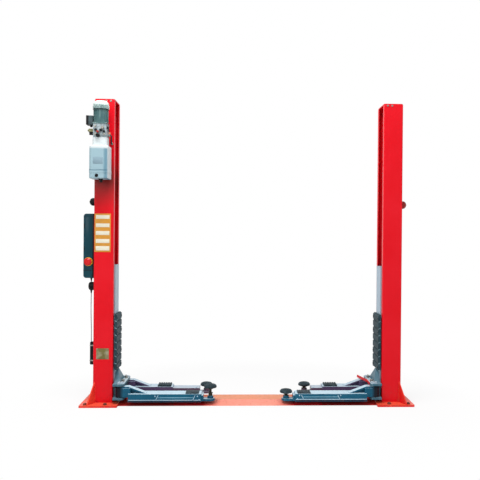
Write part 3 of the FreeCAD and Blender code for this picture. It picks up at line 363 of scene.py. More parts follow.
def moulded_group():
    """Plastic or rubber: fine grain, and grey bloom where hands and tyres have rubbed it."""
    group, given, out = new_group(
        "moulded", ("Body", "Bloom"), {"Bloom share": 0.4, "Grain scale": 300.0, "Roughness": 0.6})
    bloom = ranged(group, noise(group, scale=17, detail=5), BLOOM_SPAN)
    shade = mixed(group, times(group, bloom, given["Bloom share"]), given["Body"], given["Bloom"])
    deliver(group, out, shade, plus(group, given["Roughness"], ranged(group, bloom, RISING, BLOOM_CHANGE)),
            noise(group, given["Grain scale"], detail=3))
    return group


MOULDED = moulded_group()
print("group:", MOULDED.name)

# %% Tank shell group
CLOUD_SPAN, CLOUD_CHANGE = (0.3, 0.7), (-0.05, 0.08)
# Heights and places on the oil tank, in metres, and how far each edge wanders
TANK_EDGE_X, EDGE_WANDER = (-1.32, -1.3), (-0.004, 0.004)
OIL_LEVEL, OIL_LINE, OIL_SHARE, LEVEL_WANDER = 2.15, (0.002, 0.006), (0.8, 0.0), (-0.003, 0.003)
# The tank's side that faces +X is painted pale, a painted highlight
CROWN_HEIGHTS, SIDEWARD_SPAN, SIDE_HIGHLIGHT_SHARE = (2.338, 2.352), (0.5, 0.9), (0.0, 0.8)


def tank_shell_group():
    """Blown plastic: a bluish body with a darker edge and an oil line, a white crown, and a side painted pale
    as a highlight.
    """
    group, given, out = new_group("tank_shell", ("Body", "Edge", "Line", "Crown and highlight"), {"Roughness": 0.4})
    place = axes_of(group, "ShaderNodeTexCoord", "Object")
    normal = axes_of(group, "ShaderNodeNewGeometry", "Normal")
    cloud = noise(group, scale=9, detail=4)
    beside = plus(group, place["X"], ranged(group, cloud, CLOUD_SPAN, EDGE_WANDER))
    above = plus(group, place["Z"], ranged(group, cloud, CLOUD_SPAN, LEVEL_WANDER))
    shell = mixed(group, ranged(group, beside, TANK_EDGE_X), given["Body"], given["Edge"])
    off_line = math_of(group, "ABSOLUTE", math_of(group, "SUBTRACT", above, OIL_LEVEL))
    lined = mixed(group, ranged(group, off_line, OIL_LINE, OIL_SHARE), shell, given["Line"])
    crowned = mixed(group, ranged(group, above, CROWN_HEIGHTS), lined, given["Crown and highlight"])
    # Painted highlight on the side that faces +X
    lit_side = mixed(group, ranged(group, normal["X"], SIDEWARD_SPAN, SIDE_HIGHLIGHT_SHARE), crowned, given["Crown and highlight"])
    rough = plus(group, given["Roughness"], ranged(group, cloud, CLOUD_SPAN, CLOUD_CHANGE))
    deliver(group, out, lit_side, rough, noise(group, scale=140, detail=3))
    return group


TANK_SHELL = tank_shell_group()
print("group:", TANK_SHELL.name)

# %% [markdown]
# ## Materials
# Each finish is one group with its own colours in front of a Principled shader.
# Metallic, coat and the other even values sit on the shader itself, where every exporter finds them.

# %% Material helpers
SHINE, COAT_ROUGHNESS, RELIEF_DEPTH = 0.14, 0.12, 0.0004
FINISH = {}


def material(name, group, values, metallic=0.0, coat=0.0, bump=0.2):
    """A finish: one group feeding a Principled shader."""
    made = bpy.data.materials.new(name)
    made.use_nodes = True
    tree = made.node_tree
    shader = tree.nodes["Principled BSDF"]
    for label, value in (("Metallic", metallic), ("Specular IOR Level", SHINE), ("Coat Weight", coat),
                         ("Coat Roughness", COAT_ROUGHNESS)):
        shader.inputs[label].default_value = value
    effect = tree.nodes.new("ShaderNodeGroup")
    effect.node_tree = group
    for label, value in values.items():
        effect.inputs[label].default_value = value
    relief = tree.nodes.new("ShaderNodeBump")
    relief.inputs["Strength"].default_value = bump
    relief.inputs["Distance"].default_value = RELIEF_DEPTH
    tree.links.new(effect.outputs["Colour"], shader.inputs["Base Color"])
    tree.links.new(effect.outputs["Roughness"], shader.inputs["Roughness"])
    tree.links.new(effect.outputs["Height"], relief.inputs["Height"])
    tree.links.new(relief.outputs["Normal"], shader.inputs["Normal"])
    FINISH[name] = made


# In paint(), sky and sky_share paint light onto faces that turn up
def paint(name, base, faded_and_sheen, sky, sky_share, rub_and_sheen=0.25, roughness=0.34, grime_and_shade=(120, 100, 88), far=None,
          painted_shadow=0.0, **more):
    """Painted steel from screen colours; far is a colour and the distances where it begins and is full."""
    values = {"Paint": colour(*base), "Faded and sheen": colour(*faded_and_sheen), "Painted skylight": colour(*sky), "Grime and shade": colour(*grime_and_shade),
              "Painted skylight share": sky_share, "Rub and sheen share": rub_and_sheen, "Roughness": roughness, "Painted shadow share": painted_shadow}
    if far:
        values.update({"Far colour and shade": colour(*far[0]), "Far start": far[1], "Far end": far[2]})
    material(name, PAINTED_STEEL, values, **more)


def metal(name, bright, tarnish, share, roughness, metallic=0.9):
    """Bare metal from screen colours."""
    values = {"Metal": colour(*bright), "Tarnish": colour(*tarnish), "Tarnish share": share,
              "Roughness": roughness}
    material(name, BARE_METAL, values, metallic)


def moulding(name, body, bloom, share, grain, roughness, **more):
    """Rubber or plastic from screen colours."""
    values = {"Body": colour(*body), "Bloom": colour(*bloom), "Bloom share": share, "Grain scale": grain,
              "Roughness": roughness}
    material(name, MOULDED, values, **more)


print("material helpers ready")

# %% Painted finishes
# The third colour and the share in RED and BLUE paint light onto faces that turn up
RED = ((217, 6, 24), (223, 22, 38), (250, 92, 74), 0.5)
BLUE = ((8, 78, 104), (30, 104, 132), (196, 224, 238), 0.9)
# The arms' dark navy specks towards the floor are partly dust and partly painted shade
ARM_WEAR_AND_SHADE = {"rub_and_sheen": 0.35, "grime_and_shade": (24, 40, 60), "coat": 0.05}
# Near-black at the arms' roots is painted shade between the pin plates
ARM_ROOT_SHADE = ((12, 20, 30), 1.145, 1.18)
paint("red_paint", *RED, coat=0.04)
# The left post carries the painted shadow of the oil tank above it
paint("shadowed_red", *RED, grime_and_shade=(96, 38, 34), painted_shadow=0.85, coat=0.04)
paint("base_paint", (216, 12, 26), (242, 98, 68), (248, 100, 70), 0.75, rub_and_sheen=0.9)
# The cover's and treads' far colours darken their ends under the arms and pads: partly unworn red, partly
# painted shade
paint("cover_paint", (226, 78, 62), (242, 142, 122), (228, 150, 108), 0.85, roughness=0.42,
      far=((168, 34, 30), 0.3, 0.6))
paint("tread_paint", (236, 116, 98), (250, 190, 176), (246, 152, 132), 0.8, rub_and_sheen=0.9, roughness=0.42,
      far=((206, 34, 36), 0.26, 0.42), bump=0.6)
paint("arm_paint", *BLUE, **ARM_WEAR_AND_SHADE)
paint("arm_front", *BLUE, far=ARM_ROOT_SHADE, **ARM_WEAR_AND_SHADE)
# The rear arms' purple is painted shade with a painted reflection of the red cover on the blue paint
paint("arm_rear_shade", (84, 72, 108), (108, 94, 124), (190, 214, 228), 0.9, far=ARM_ROOT_SHADE, **ARM_WEAR_AND_SHADE)
paint("bracket_paint", (46, 88, 106), (108, 142, 154), (122, 156, 170), 0.75, rub_and_sheen=0.9)
# The front arms' pale and band colours are painted highlights, and the deep colour is painted shade
paint("arm_highlight", (150, 186, 206), (190, 216, 230), (222, 236, 244), 0.6, rub_and_sheen=0.4)
paint("arm_band_highlight", (96, 158, 184), (140, 190, 208), (214, 234, 242), 0.6, rub_and_sheen=0.4)
paint("arm_shade", (14, 30, 50), (24, 52, 76), (120, 160, 180), 0.4, rub_and_sheen=0.3)
# The rear extensions' purple is the same painted shade and reflection
paint("arm_violet_shade", (92, 74, 100), (116, 98, 116), (184, 200, 214), 0.9, rub_and_sheen=0.4)
# A pale colour for the bracket's top face, a painted highlight
paint("bracket_highlight", (120, 152, 166), (222, 232, 236), (206, 220, 228), 0.5, rub_and_sheen=1.0)
paint("carriage_grey", (150, 172, 188), (176, 196, 208), (214, 228, 236), 0.5)
paint("control_paint", (8, 56, 68), (18, 76, 88), (70, 122, 134), 0.4, coat=0.05)
# The motor's pale upright streaks are painted highlights standing in for light on its fins
paint("motor_paint", (72, 104, 106), (150, 172, 166), (220, 230, 226), 0.5, rub_and_sheen=0.8)
paint("fan_paint", (190, 206, 202), (208, 220, 216), (240, 246, 246), 0.6)
paint("black_steel", (20, 24, 28), (44, 48, 52), (84, 90, 94), 0.4)
print("painted finishes:", len(FINISH))

# %% Metal, plastic and rubber finishes
metal("cast_aluminium", (162, 176, 180), (66, 80, 86), 0.9, 0.5, metallic=0.1)
metal("chrome_ram", (182, 188, 192), (120, 126, 130), 0.3, 0.16)
metal("zinc", (150, 150, 144), (96, 92, 86), 0.6, 0.38)
metal("anchor_steel", (132, 74, 62), (70, 44, 40), 0.7, 0.5, metallic=0.3)
metal("pad_steel", (74, 70, 58), (40, 38, 32), 0.6, 0.45, metallic=0.6)
material("white_tank", TANK_SHELL, {"Body": colour(146, 174, 184), "Edge": colour(104, 140, 156),
                                    "Line": colour(58, 92, 112), "Crown and highlight": colour(204, 212, 214),
                                    "Roughness": 0.38}, coat=0.1)
moulding("tank_plate", (128, 152, 164), (150, 172, 182), 0.5, 60, 0.42)
moulding("black_plastic", (12, 13, 15), (38, 40, 42), 0.3, 600, 0.45)
moulding("grey_plastic", (58, 72, 76), (96, 110, 112), 0.4, 500, 0.5)
moulding("cream_plastic", (150, 148, 112), (206, 200, 164), 0.4, 400, 0.5)
moulding("orange_knob", (190, 108, 84), (214, 142, 116), 0.4, 300, 0.4)
moulding("relief_red", (150, 44, 40), (176, 84, 76), 0.4, 300, 0.4)
moulding("stop_button", (196, 18, 24), (224, 56, 50), 0.3, 200, 0.3, coat=0.15)
moulding("stop_collar", (226, 176, 34), (242, 204, 84), 0.3, 200, 0.38)
moulding("grey_cable", (150, 156, 160), (178, 184, 188), 0.4, 500, 0.5)
moulding("guard_rubber", (30, 52, 60), (70, 98, 106), 0.45, 260, 0.6)
moulding("guard_glint_rubber", (122, 154, 162), (176, 198, 204), 0.6, 260, 0.6)
moulding("pad_rubber", (36, 50, 56), (94, 112, 120), 0.5, 320, 0.6, bump=0.35)
moulding("label_amber", (206, 144, 58), (222, 166, 92), 0.4, 60, 0.4)
moulding("label_pale", (226, 220, 200), (240, 234, 218), 0.4, 60, 0.42)
moulding("data_olive", (112, 104, 62), (176, 172, 148), 0.9, 90, 0.4)
print("all finishes:", len(FINISH))

# %% [markdown]
# ## Dressing the CAD nodes
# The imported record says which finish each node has. The CAD mesh stays exactly as it is:
# only the material in its slot changes. A few nodes get a finish of their own, such as the dusty cover.

# %% Dress the nodes
OWN_FINISH = {
    "floor_cover": "cover_paint", "floor_tie_plate": "cover_paint", "motor_fan_cover": "fan_paint",
    "solenoid_valve": "cream_plastic", "motor_terminal_box": "grey_plastic", "release_lever": "black_steel",
    "left_column": "shadowed_red", "right_latch_cover": "relief_red",
}
for side in SIDES:
    OWN_FINISH.update({
        f"{side}_base_plate": "base_paint", f"{side}_arm_bracket": "bracket_paint",
        f"{side}_pivot_pins": "carriage_grey", f"rear_{side}_arm_extension": "arm_violet_shade",
        f"rear_{side}_outer_arm": "arm_rear_shade", f"front_{side}_outer_arm": "arm_front",
    })
NODE_SLOT = {row["node"]: row["material_slot"] for row in frame["record"]["subparts"]}
for name, node in NODES.items():
    finish_name = OWN_FINISH.get(name, NODE_SLOT[name])
    for slot in node.material_slots:
        slot.material = FINISH[finish_name]
cable.data.materials.append(FINISH["grey_cable"])
print("dressed:", len(NODE_SLOT), "nodes")

# %% [markdown]
# ## Floor, light and background
# The photograph is a studio shot on white. The floor is a plain pale plane that keeps the lift's
# shadow near it and fades to the background further out. Light comes from wide soft panels: one
# overhead, which brightens all that faces up, one from the front left and a weaker one from the right.

# %% Floor
FLOOR_HALF = 14.0
FLOOR_SHADE = 0.86
FADE_DISTANCES, FADE_SHARE = (1.5, 2.3), (0.86, 1.0)
WHITE = (1, 1, 1, 1)


def seen_directly(tree, *others):
    """1 for rays from the camera or a mirror-like face, and for the other kinds named, else 0."""
    rays = tree.nodes.new("ShaderNodeLightPath").outputs
    seen = rays["Is Camera Ray"]
    for kind in ("Is Glossy Ray", *others):
        seen = math_of(tree, "MAXIMUM", seen, rays[kind])
    return seen


bpy.ops.mesh.primitive_plane_add(size=2 * FLOOR_HALF, location=(0, 0, 0))
floor = bpy.context.object
floor.name = "studio_floor"
floor_material = bpy.data.materials.new("studio_floor")
floor_material.use_nodes = True
tree = floor_material.node_tree
tree.nodes.remove(tree.nodes["Principled BSDF"])
surface = tree.nodes["Material Output"]
matt = tree.nodes.new("ShaderNodeBsdfDiffuse")
matt.inputs["Color"].default_value = (FLOOR_SHADE, FLOOR_SHADE, FLOOR_SHADE, 1)
glow = tree.nodes.new("ShaderNodeEmission")
glow.inputs["Color"].default_value = WHITE
blend = tree.nodes.new("ShaderNodeMixShader")
spot = tree.nodes.new("ShaderNodeTexCoord")
length = tree.nodes.new("ShaderNodeVectorMath")
length.operation = "LENGTH"
tree.links.new(spot.outputs["Object"], length.inputs[0])
far_share = ranged(tree, length.outputs["Value"], FADE_DISTANCES, FADE_SHARE)
tree.links.new(times(tree, far_share, seen_directly(tree)), blend.inputs["Fac"])
tree.links.new(matt.outputs["BSDF"], blend.inputs[1])
tree.links.new(glow.outputs["Emission"], blend.inputs[2])
tree.links.new(blend.outputs["Shader"], surface.inputs["Surface"])
floor.data.materials.append(floor_material)
print("floor:", 2 * FLOOR_HALF, "m across")

# %% [markdown]
# ### World and lamps
# White surroundings fill the shadows, and only what looks at them directly sees them at full strength.
# An area lamp has soft shadows, as a photographer's panel does, so three of them stand in for the studio.

# %% World and lamps
WORLD_LIGHT = 0.5
world = bpy.data.worlds.new("studio")
bpy.context.scene.world = world
world.use_nodes = True
tree = world.node_tree
sky = tree.nodes["Background"]
sky.inputs["Color"].default_value = WHITE
seen = seen_directly(tree, "Is Transmission Ray")
tree.links.new(ranged(tree, seen, RISING, (WORLD_LIGHT, 1.0)), sky.inputs["Strength"])


def soft_panel(name, place, aim, size, power):
    """A wide soft lamp at a place, turned towards a point."""
    data = bpy.data.lights.new(name, "AREA")
    data.shape = "RECTANGLE"
    data.size, data.size_y = size
    data.energy = power
    lamp = bpy.data.objects.new(name, data)
    bpy.context.scene.collection.objects.link(lamp)
    look = (Vector(aim) - Vector(place)).to_track_quat("-Z", "Y")
    lamp.matrix_world = Matrix.Translation(place) @ look.to_matrix().to_4x4()


soft_panel("overhead_panel", place=(-0.8, -1.5, 5.1), aim=(0, 0, 0), size=(2.6, 1.4), power=170)
soft_panel("front_left_panel", place=(-4.0, -5.5, 3.6), aim=(0, 0, 1.2), size=(3.0, 3.0), power=84)
soft_panel("front_right_panel", place=(4.6, -4.5, 2.6), aim=(0, 0, 1.2), size=(2.5, 2.5), power=40)
view = bpy.context.scene.view_settings
view.view_transform = "Standard"

# %% [markdown]
# ## Making pieces
# Small parts are made as a modeller makes them by hand: add a primitive, extrude, inset, bevel,
# then apply what was done. These helpers keep each step short. Each finished piece sits at the
# origin with its place in its mesh, so that patterns don't slide when it moves.

# %% Blocks and turned pieces
THIN_EDGE = 0.0004


def clear():
    """Object mode with nothing selected."""
    if bpy.context.mode != "OBJECT":
        bpy.ops.object.mode_set(mode="OBJECT")
    bpy.ops.object.select_all(action="DESELECT")


def take(piece):
    """Only this piece is selected and active."""
    clear()
    piece.select_set(True)
    bpy.context.view_layer.objects.active = piece


def settle(piece):
    """The piece's place, turn and size go into its mesh."""
    take(piece)
    bpy.ops.object.transform_apply(location=True, rotation=True, scale=True)
    return piece


def soften(piece, width, segments=2, angle=30):
    """Rounded edges where faces meet at more than the angle."""
    take(piece)
    edge = piece.modifiers.new("edge", "BEVEL")
    edge.width = width
    edge.segments = segments
    edge.limit_method = "ANGLE"
    edge.angle_limit = math.radians(angle)
    bpy.ops.object.modifier_apply(modifier=edge.name)
    return piece


def sharp_block(name, low, high):
    """A block between two corners."""
    clear()
    low, high = Vector(low), Vector(high)
    bpy.ops.mesh.primitive_cube_add(size=1, location=(low + high) / 2)
    piece = bpy.context.object
    piece.name = name
    piece.scale = high - low
    return settle(piece)


def block(name, low, high, edge=THIN_EDGE, segments=2):
    """A block between two corners with rounded edges."""
    return soften(sharp_block(name, low, high), edge, segments)


def unpick(piece):
    """Object mode with nothing selected in the piece's mesh."""
    take(piece)
    bpy.ops.object.mode_set(mode="EDIT")
    bpy.ops.mesh.select_all(action="DESELECT")
    bpy.ops.object.mode_set(mode="OBJECT")


def rounded_block(name, low, high, corner, edge):
    """A block whose four upright edges are rounded more than the others."""
    piece = sharp_block(name, low, high)
    unpick(piece)
    for side_edge in piece.data.edges:
        ends = [piece.data.vertices[index].co for index in side_edge.vertices]
        side_edge.select = abs(ends[0].z - ends[1].z) > (high[2] - low[2]) / 2
    bpy.ops.object.mode_set(mode="EDIT")
    bpy.ops.mesh.select_mode(type="EDGE")
    bpy.ops.mesh.bevel(offset=corner, segments=6, affect="EDGES")
    bpy.ops.object.mode_set(mode="OBJECT")
    return soften(piece, edge, angle=50)


def turned(name, steps, sides):
    """A piece turned on the Z axis: each step is a radius and a height, from one end to the other."""
    clear()
    radius, height = steps[0]
    bpy.ops.mesh.primitive_circle_add(vertices=sides, radius=radius, fill_type="NGON",
                                      location=(0, 0, height))
    piece = settle(bpy.context.object)
    piece.name = name
    bpy.ops.object.mode_set(mode="EDIT")
    bpy.ops.mesh.select_all(action="SELECT")
    for next_radius, next_height in steps[1:]:
        bpy.ops.mesh.extrude_region_move(TRANSFORM_OT_translate={"value": (0, 0, next_height - height)})
        growth = next_radius / radius
        bpy.ops.transform.resize(value=(growth, growth, 1), center_override=(0, 0, next_height))
        radius, height = next_radius, next_height
    bpy.ops.mesh.select_all(action="SELECT")
    bpy.ops.mesh.normals_make_consistent(inside=False)
    bpy.ops.object.mode_set(mode="OBJECT")
    return piece


print("shape helpers ready")

# %% [markdown]
# ### Copies and finishes
# A bolt is modelled standing on the origin, so that one turn and one move bring each copy to its place.
# Bolts that belong together are joined, because one piece with a clear name is easier to find in a list.

# %% Copies, joins and finishes
HALF_TURN = math.radians(180)
TO_FRONT = (QUARTER_TURN, 0, 0)
TO_LEFT = (0, -QUARTER_TURN, 0)
TO_RIGHT = (0, QUARTER_TURN, 0)
DOWN = (HALF_TURN, 0, 0)


def placed(piece, at, turn=(0, 0, 0)):
    """The piece turned about its own origin and carried to a place."""
    piece.rotation_euler = turn
    piece.location = at
    return settle(piece)


def faced(sign):
    """The turn that takes a pattern of the left or front side to the other side."""
    return (0, 0, 0) if sign < 0 else (0, 0, HALF_TURN)


def copied(piece, name, at=(0, 0, 0), turn=(0, 0, 0)):
    """A copy with its own mesh, turned and carried to a place."""
    twin = piece.copy()
    twin.data = piece.data.copy()
    twin.name = name
    bpy.context.scene.collection.objects.link(twin)
    return placed(twin, at, turn)


def joined(name, pieces):
    """Several pieces as one object."""
    clear()
    for piece in pieces:
        piece.select_set(True)
    bpy.context.view_layer.objects.active = pieces[0]
    if len(pieces) > 1:
        bpy.ops.object.join()
    pieces[0].name = name
    return pieces[0]


def spread(pattern, name, places, turn=(0, 0, 0)):
    """Copies of a pattern at several places, as one object."""
    return joined(name, [copied(pattern, name, place, turn) for place in places])


def discard(*pieces):
    """Patterns that were only copied from."""
    for piece in pieces:
        bpy.data.objects.remove(piece)


def finished(piece, finish_name, body="frame", angle=35):
    """Smooth shading, a finish in the piece's material slot and a body to ride on."""
    take(piece)
    bpy.ops.object.shade_smooth_by_angle(angle=math.radians(angle))
    piece.data.materials.clear()
    piece.data.materials.append(FINISH[finish_name])
    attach(piece, body)


def finished_block(name, finish_name, low, high, edge=THIN_EDGE, segments=2, body="frame"):
    """A block with rounded edges and its finish."""
    finished(block(name, low, high, edge, segments), finish_name, body)


def finished_turning(name, finish_name, steps, sides, at, turn=(0, 0, 0)):
    """A turned piece in its place with its finish."""
    finished(placed(turned(name, steps, sides), at, turn), finish_name)


print("copy and finish helpers ready")

# %% [markdown]
# ## Fasteners and welds
# Bolts, screws and weld beads come again and again, so each is modelled once and copied.
# A weld bead is a row of overlapping drops: one small ball and an array, as the welder lays it.

# %% Fastener and weld helpers
# Radius and height of each step, as shares of half the width across flats or of the head's radius
WASHER_SHARES = ((1.34, 0.0), (1.4, 0.06), (1.34, 0.16))
HEAD_SHARES = ((1.08, 0.1), (1.14, 0.22), (1.14, 0.78), (0.96, 0.9))
SOCKET_SHARES = ((1.0, 0.0), (1.0, 0.42), (0.86, 0.62), (0.42, 0.62), (0.36, 0.3))
DROP_PITCH = 1.1
DROP_SHAPE = (1, 1, 0.8)


def scaled(shares, size):
    """Steps of a turned piece from shares of a size."""
    return [(radius * size, height * size) for radius, height in shares]


def hex_bolt(name, across):
    """A hexagon head on its washer, standing on the origin along +Z."""
    washer = turned("bolt_washer", scaled(WASHER_SHARES, across / 2), sides=24)
    return joined(name, [washer, turned("bolt_head", scaled(HEAD_SHARES, across / 2), sides=6)])


def socket_screw(name, radius):
    """A round screw head with a driver socket sunk in its top."""
    return turned(name, scaled(SOCKET_SHARES, radius), sides=16)


def weld_bead(name, start, end, radius=0.003):
    """A row of overlapping drops from one point to another."""
    clear()
    start, end = Vector(start), Vector(end)
    pitch = radius * DROP_PITCH
    bpy.ops.mesh.primitive_uv_sphere_add(segments=8, ring_count=5, radius=radius)
    piece = bpy.context.object
    piece.name = name
    piece.scale = DROP_SHAPE
    settle(piece)
    row = piece.modifiers.new("row", "ARRAY")
    row.use_relative_offset = False
    row.use_constant_offset = True
    row.constant_offset_displace = (0, 0, pitch)
    row.count = max(2, int((end - start).length / pitch) + 1)
    bpy.ops.object.modifier_apply(modifier=row.name)
    return placed(piece, start, (end - start).to_track_quat("Z", "Y").to_euler())


print("fastener helpers ready")

# %% [markdown]
# ## Anchor bolts
# A lift stands on eight anchors. Each shows a washer, a hexagon nut and the end of a stud.
# They stay low, because the arms swing over the inner ones.

# %% Anchor bolts
BASE_TOP = 0.018
ANCHOR_X, ANCHOR_Y = (1.31, 1.49), (-0.225, 0.225)
# Degrees that each nut is turned: a start, and more for each metre along X and Y
TWIST, TWIST_X, TWIST_Y = 23, 130, 40
anchor = joined("anchor_pattern", [
    turned("anchor_washer", ((0.0185, 0.0), (0.0195, 0.0008), (0.019, 0.0025)), sides=32),
    turned("anchor_nut", ((0.015, 0.0025), (0.016, 0.0035), (0.016, 0.012), (0.014, 0.0135)), sides=6),
    turned("anchor_stud", ((0.0085, 0.002), (0.0085, 0.016), (0.007, 0.0178)), sides=20),
])
for side, sign in SIDES.items():
    bolts = []
    for place_x in ANCHOR_X:
        for place_y in ANCHOR_Y:
            turn = (0, 0, math.radians(TWIST + TWIST_X * place_x + TWIST_Y * place_y))
            bolts.append(copied(anchor, "anchor", (sign * place_x, place_y, BASE_TOP), turn))
    finished(joined(f"{side}_anchor_bolts", bolts), "anchor_steel")
discard(anchor)
print("anchor bolts: 8")

# %% [markdown]
# ## Plates on the left post
# The amber panel holds five pale fields, and a small framed data plate sits near the foot.
# Both are bare here, as generic plates. Thin blocks with rounded edges catch the light as real ones do.

# %% Label panel and data plate
POST_FRONT = -0.15
# How far a layer's front and back stand off the post, and how round its edges are
PLATE_LAYER = (0.0012, -0.0002, 0.0005)
FIELD_LAYER = (0.002, 0.001, 0.0004)
PANEL_X, PANEL_Z = (-1.429, -1.282), (1.412, 1.766)
FIELD_X = (-1.417, -1.293)
FIELD_HEIGHTS = ((1.717, 1.752), (1.641, 1.675), (1.569, 1.605), (1.495, 1.531), (1.426, 1.466))
RIM_X, RIM_Z = (-1.406, -1.291), (0.421, 0.522)
FACE_X, FACE_Z = (-1.401, -1.296), (0.426, 0.517)
RIVET_X, RIVET_Z = (-1.3965, -1.3005), (0.4305, 0.5125)


def post_plate(name, across, heights, layer):
    """A thin plate on the left post's front face."""
    front, back, edge = layer
    low = (across[0], POST_FRONT - front, heights[0])
    return block(name, low, (across[1], POST_FRONT - back, heights[1]), edge)


finished(post_plate("label_panel", PANEL_X, PANEL_Z, PLATE_LAYER), "label_amber")
fields = [post_plate("field", FIELD_X, heights, FIELD_LAYER) for heights in FIELD_HEIGHTS]
finished(joined("label_fields", fields), "label_pale")
finished(post_plate("data_plate_rim", RIM_X, RIM_Z, PLATE_LAYER), "data_olive")
finished(post_plate("data_plate_face", FACE_X, FACE_Z, FIELD_LAYER), "data_olive")
rivet = turned("rivet_pattern", ((0.003, 0.0), (0.0028, 0.0008), (0.0018, 0.0014)), sides=12)
places = [(place_x, POST_FRONT - FIELD_LAYER[0], place_z) for place_x in RIVET_X for place_z in RIVET_Z]
finished(spread(rivet, "data_plate_rivets", places, TO_FRONT), "zinc")
discard(rivet)
print("label fields:", len(FIELD_HEIGHTS))

# %% [markdown]
# ## Posts and base plates
# The welds along the posts' feet and gussets are what a close look at such a lift finds first.
# Two small bolts hold the cable guide near each post's top.

# %% Post welds and bolts
POST_OUT, POST_IN, POST_HALF = 1.435, 1.255, 0.15
END_GAP, WALL_GAP = 0.006, 0.008
GUSSET_ROOT, GUSSET_TIP, GUSSET_REACH, GUSSET_TOP, GUSSET_BEAD = 1.415, 1.461, 0.25, 0.2, 0.0025
TOP_BOLT_X, TOP_BOLT_Z = (1.33, 1.288), 2.806
top_bolt = hex_bolt("top_bolt_pattern", across=0.014)
for side, sign in SIDES.items():
    outside, reach = sign * POST_OUT, POST_HALF - END_GAP
    beads = [weld_bead("foot_weld", (outside, -reach, BASE_TOP), (outside, reach, BASE_TOP))]
    for fore in ROWS.values():
        wall = fore * POST_HALF
        inner, outer = sign * (POST_IN + WALL_GAP), sign * (POST_OUT - WALL_GAP)
        root = (sign * GUSSET_ROOT, wall, BASE_TOP)
        tip = (sign * GUSSET_TIP, fore * GUSSET_REACH, BASE_TOP)
        beads.append(weld_bead("foot_weld", (inner, wall, BASE_TOP), (outer, wall, BASE_TOP)))
        beads.append(weld_bead("gusset_weld", root, tip, GUSSET_BEAD))
        beads.append(weld_bead("gusset_weld", root, (sign * GUSSET_ROOT, wall, GUSSET_TOP), GUSSET_BEAD))
    finished(joined(f"{side}_post_welds", beads), "base_paint")
    places = [(sign * place_x, -POST_HALF, TOP_BOLT_Z) for place_x in TOP_BOLT_X]
    finished(spread(top_bolt, f"{side}_top_bolts", places, TO_FRONT), "zinc")
discard(top_bolt)
print("post welds: 2")

# %% [markdown]
# ## Floor cover
# The folded cover lies in three lengths. A narrow strip laps each joint and flat screws hold it,
# just as on a real one, because the hoses below must stay within reach. Wheels have worn the ramps
# paler in the middle, and their ends under the arms are a darker red, which is partly unworn paint
# and partly painted shade of the arms.

# %% Cover strips and screws
COVER_TOP, COVER_FOOT, COVER_RISE = 0.095, 0.201, 0.036
SLOPE = math.atan2(COVER_RISE, COVER_FOOT - COVER_TOP)
RAMP_HALF = math.hypot(COVER_RISE, COVER_FOOT - COVER_TOP) / 2
JOINT_X, LAP_HALF, LAP_SUNK, LAP_HIGH, LAP_OVER, LAP_FOOT = 0.72, 0.016, 0.0004, 0.0012, 0.001, 0.003
TREAD_X, TREAD_SUNK, TREAD_HIGH, TREAD_FOOT, TREAD_HEAD = 0.69, 0.0003, 0.0008, 0.004, 0.002
SCREW_X, SCREW_Y, SCREW_Z = (-0.01, 0.01), (-0.07, 0.0, 0.07), COVER_RISE + 0.001


def on_ramp(piece, place_x, fore):
    """A strip made flat along Y, laid on the front or the rear ramp."""
    placed(piece, (0, 0, 0), (SLOPE, 0, 0))
    return placed(piece, (place_x, fore * (COVER_TOP + COVER_FOOT) / 2, COVER_RISE / 2), faced(fore))


strips = []
treads = []
screw_places = []
for place_x in (-JOINT_X, JOINT_X):
    strips.append(block("lap_top", (place_x - LAP_HALF, -COVER_TOP - LAP_OVER, COVER_RISE - LAP_SUNK),
                        (place_x + LAP_HALF, COVER_TOP + LAP_OVER, COVER_RISE + LAP_HIGH)))
    for fore in ROWS.values():
        ramp = block("lap_ramp", (-LAP_HALF, LAP_FOOT - RAMP_HALF, -LAP_SUNK),
                     (LAP_HALF, RAMP_HALF, LAP_HIGH))
        strips.append(on_ramp(ramp, place_x, fore))
    screw_places += [(place_x + across, place_y, SCREW_Z) for across in SCREW_X for place_y in SCREW_Y]
finished(joined("cover_strips", strips), "cover_paint")
for fore in ROWS.values():
    tread = block("ramp_tread", (-TREAD_X, TREAD_FOOT - RAMP_HALF, -TREAD_SUNK),
                  (TREAD_X, RAMP_HALF - TREAD_HEAD, TREAD_HIGH), edge=0.0003)
    treads.append(on_ramp(tread, 0, fore))
finished(joined("ramp_treads", treads), "tread_paint")
screw = socket_screw("cover_screw_pattern", radius=0.0045)
finished(spread(screw, "cover_screws", screw_places), "zinc")
discard(screw)
print("cover strips: 2, treads: 2, screws:", len(screw_places))

# %% [markdown]
# ## Arms
# The side of each front arm shows a pressed panel: slanted ends, a band along its middle and a
# bright lower edge. Raised strips a few millimetres proud give those lines real edges, and their pale
# colours are painted highlights; a dark strip below the panel is painted shade. Rubber blocks
# lie on the tubes, and a stop bolt keeps each rear extension from sliding in too far.

# %% Arm side panels
ARM_SIDE = 0.23
STRIP_PROUD, BAND_PROUD, SHADE_STRIP_PROUD, STRIP_EDGE = 0.0035, 0.002, 0.001, 0.0006
TUBE_ENDS, BAND_ENDS, BAND_GAP = (0.438, 1.098), (0.838, 0.502), 0.004
# Where each slanted end stands at its foot and at its top, and how wide it is
PANEL_ENDS, SLANT_HALF = ((0.85, 0.828), (0.512, 0.49)), 0.003
SHADE_STRIP_LOW = 0.044
# The panel's foot, the top of its foot strip, its top, and the band's two heights
PANEL_HEIGHTS = {"left": (0.0565, 0.0625, 0.104, 0.079, 0.085),
                 "right": (0.061, 0.068, 0.106, 0.084, 0.09)}


def side_strip(name, ends, heights, proud=STRIP_PROUD, edge=STRIP_EDGE):
    """A strip on a front arm's outer side."""
    low_x, high_x = sorted(ends)
    return block(name, (low_x, -ARM_SIDE - proud, heights[0]), (high_x, -ARM_SIDE, heights[1]), edge)


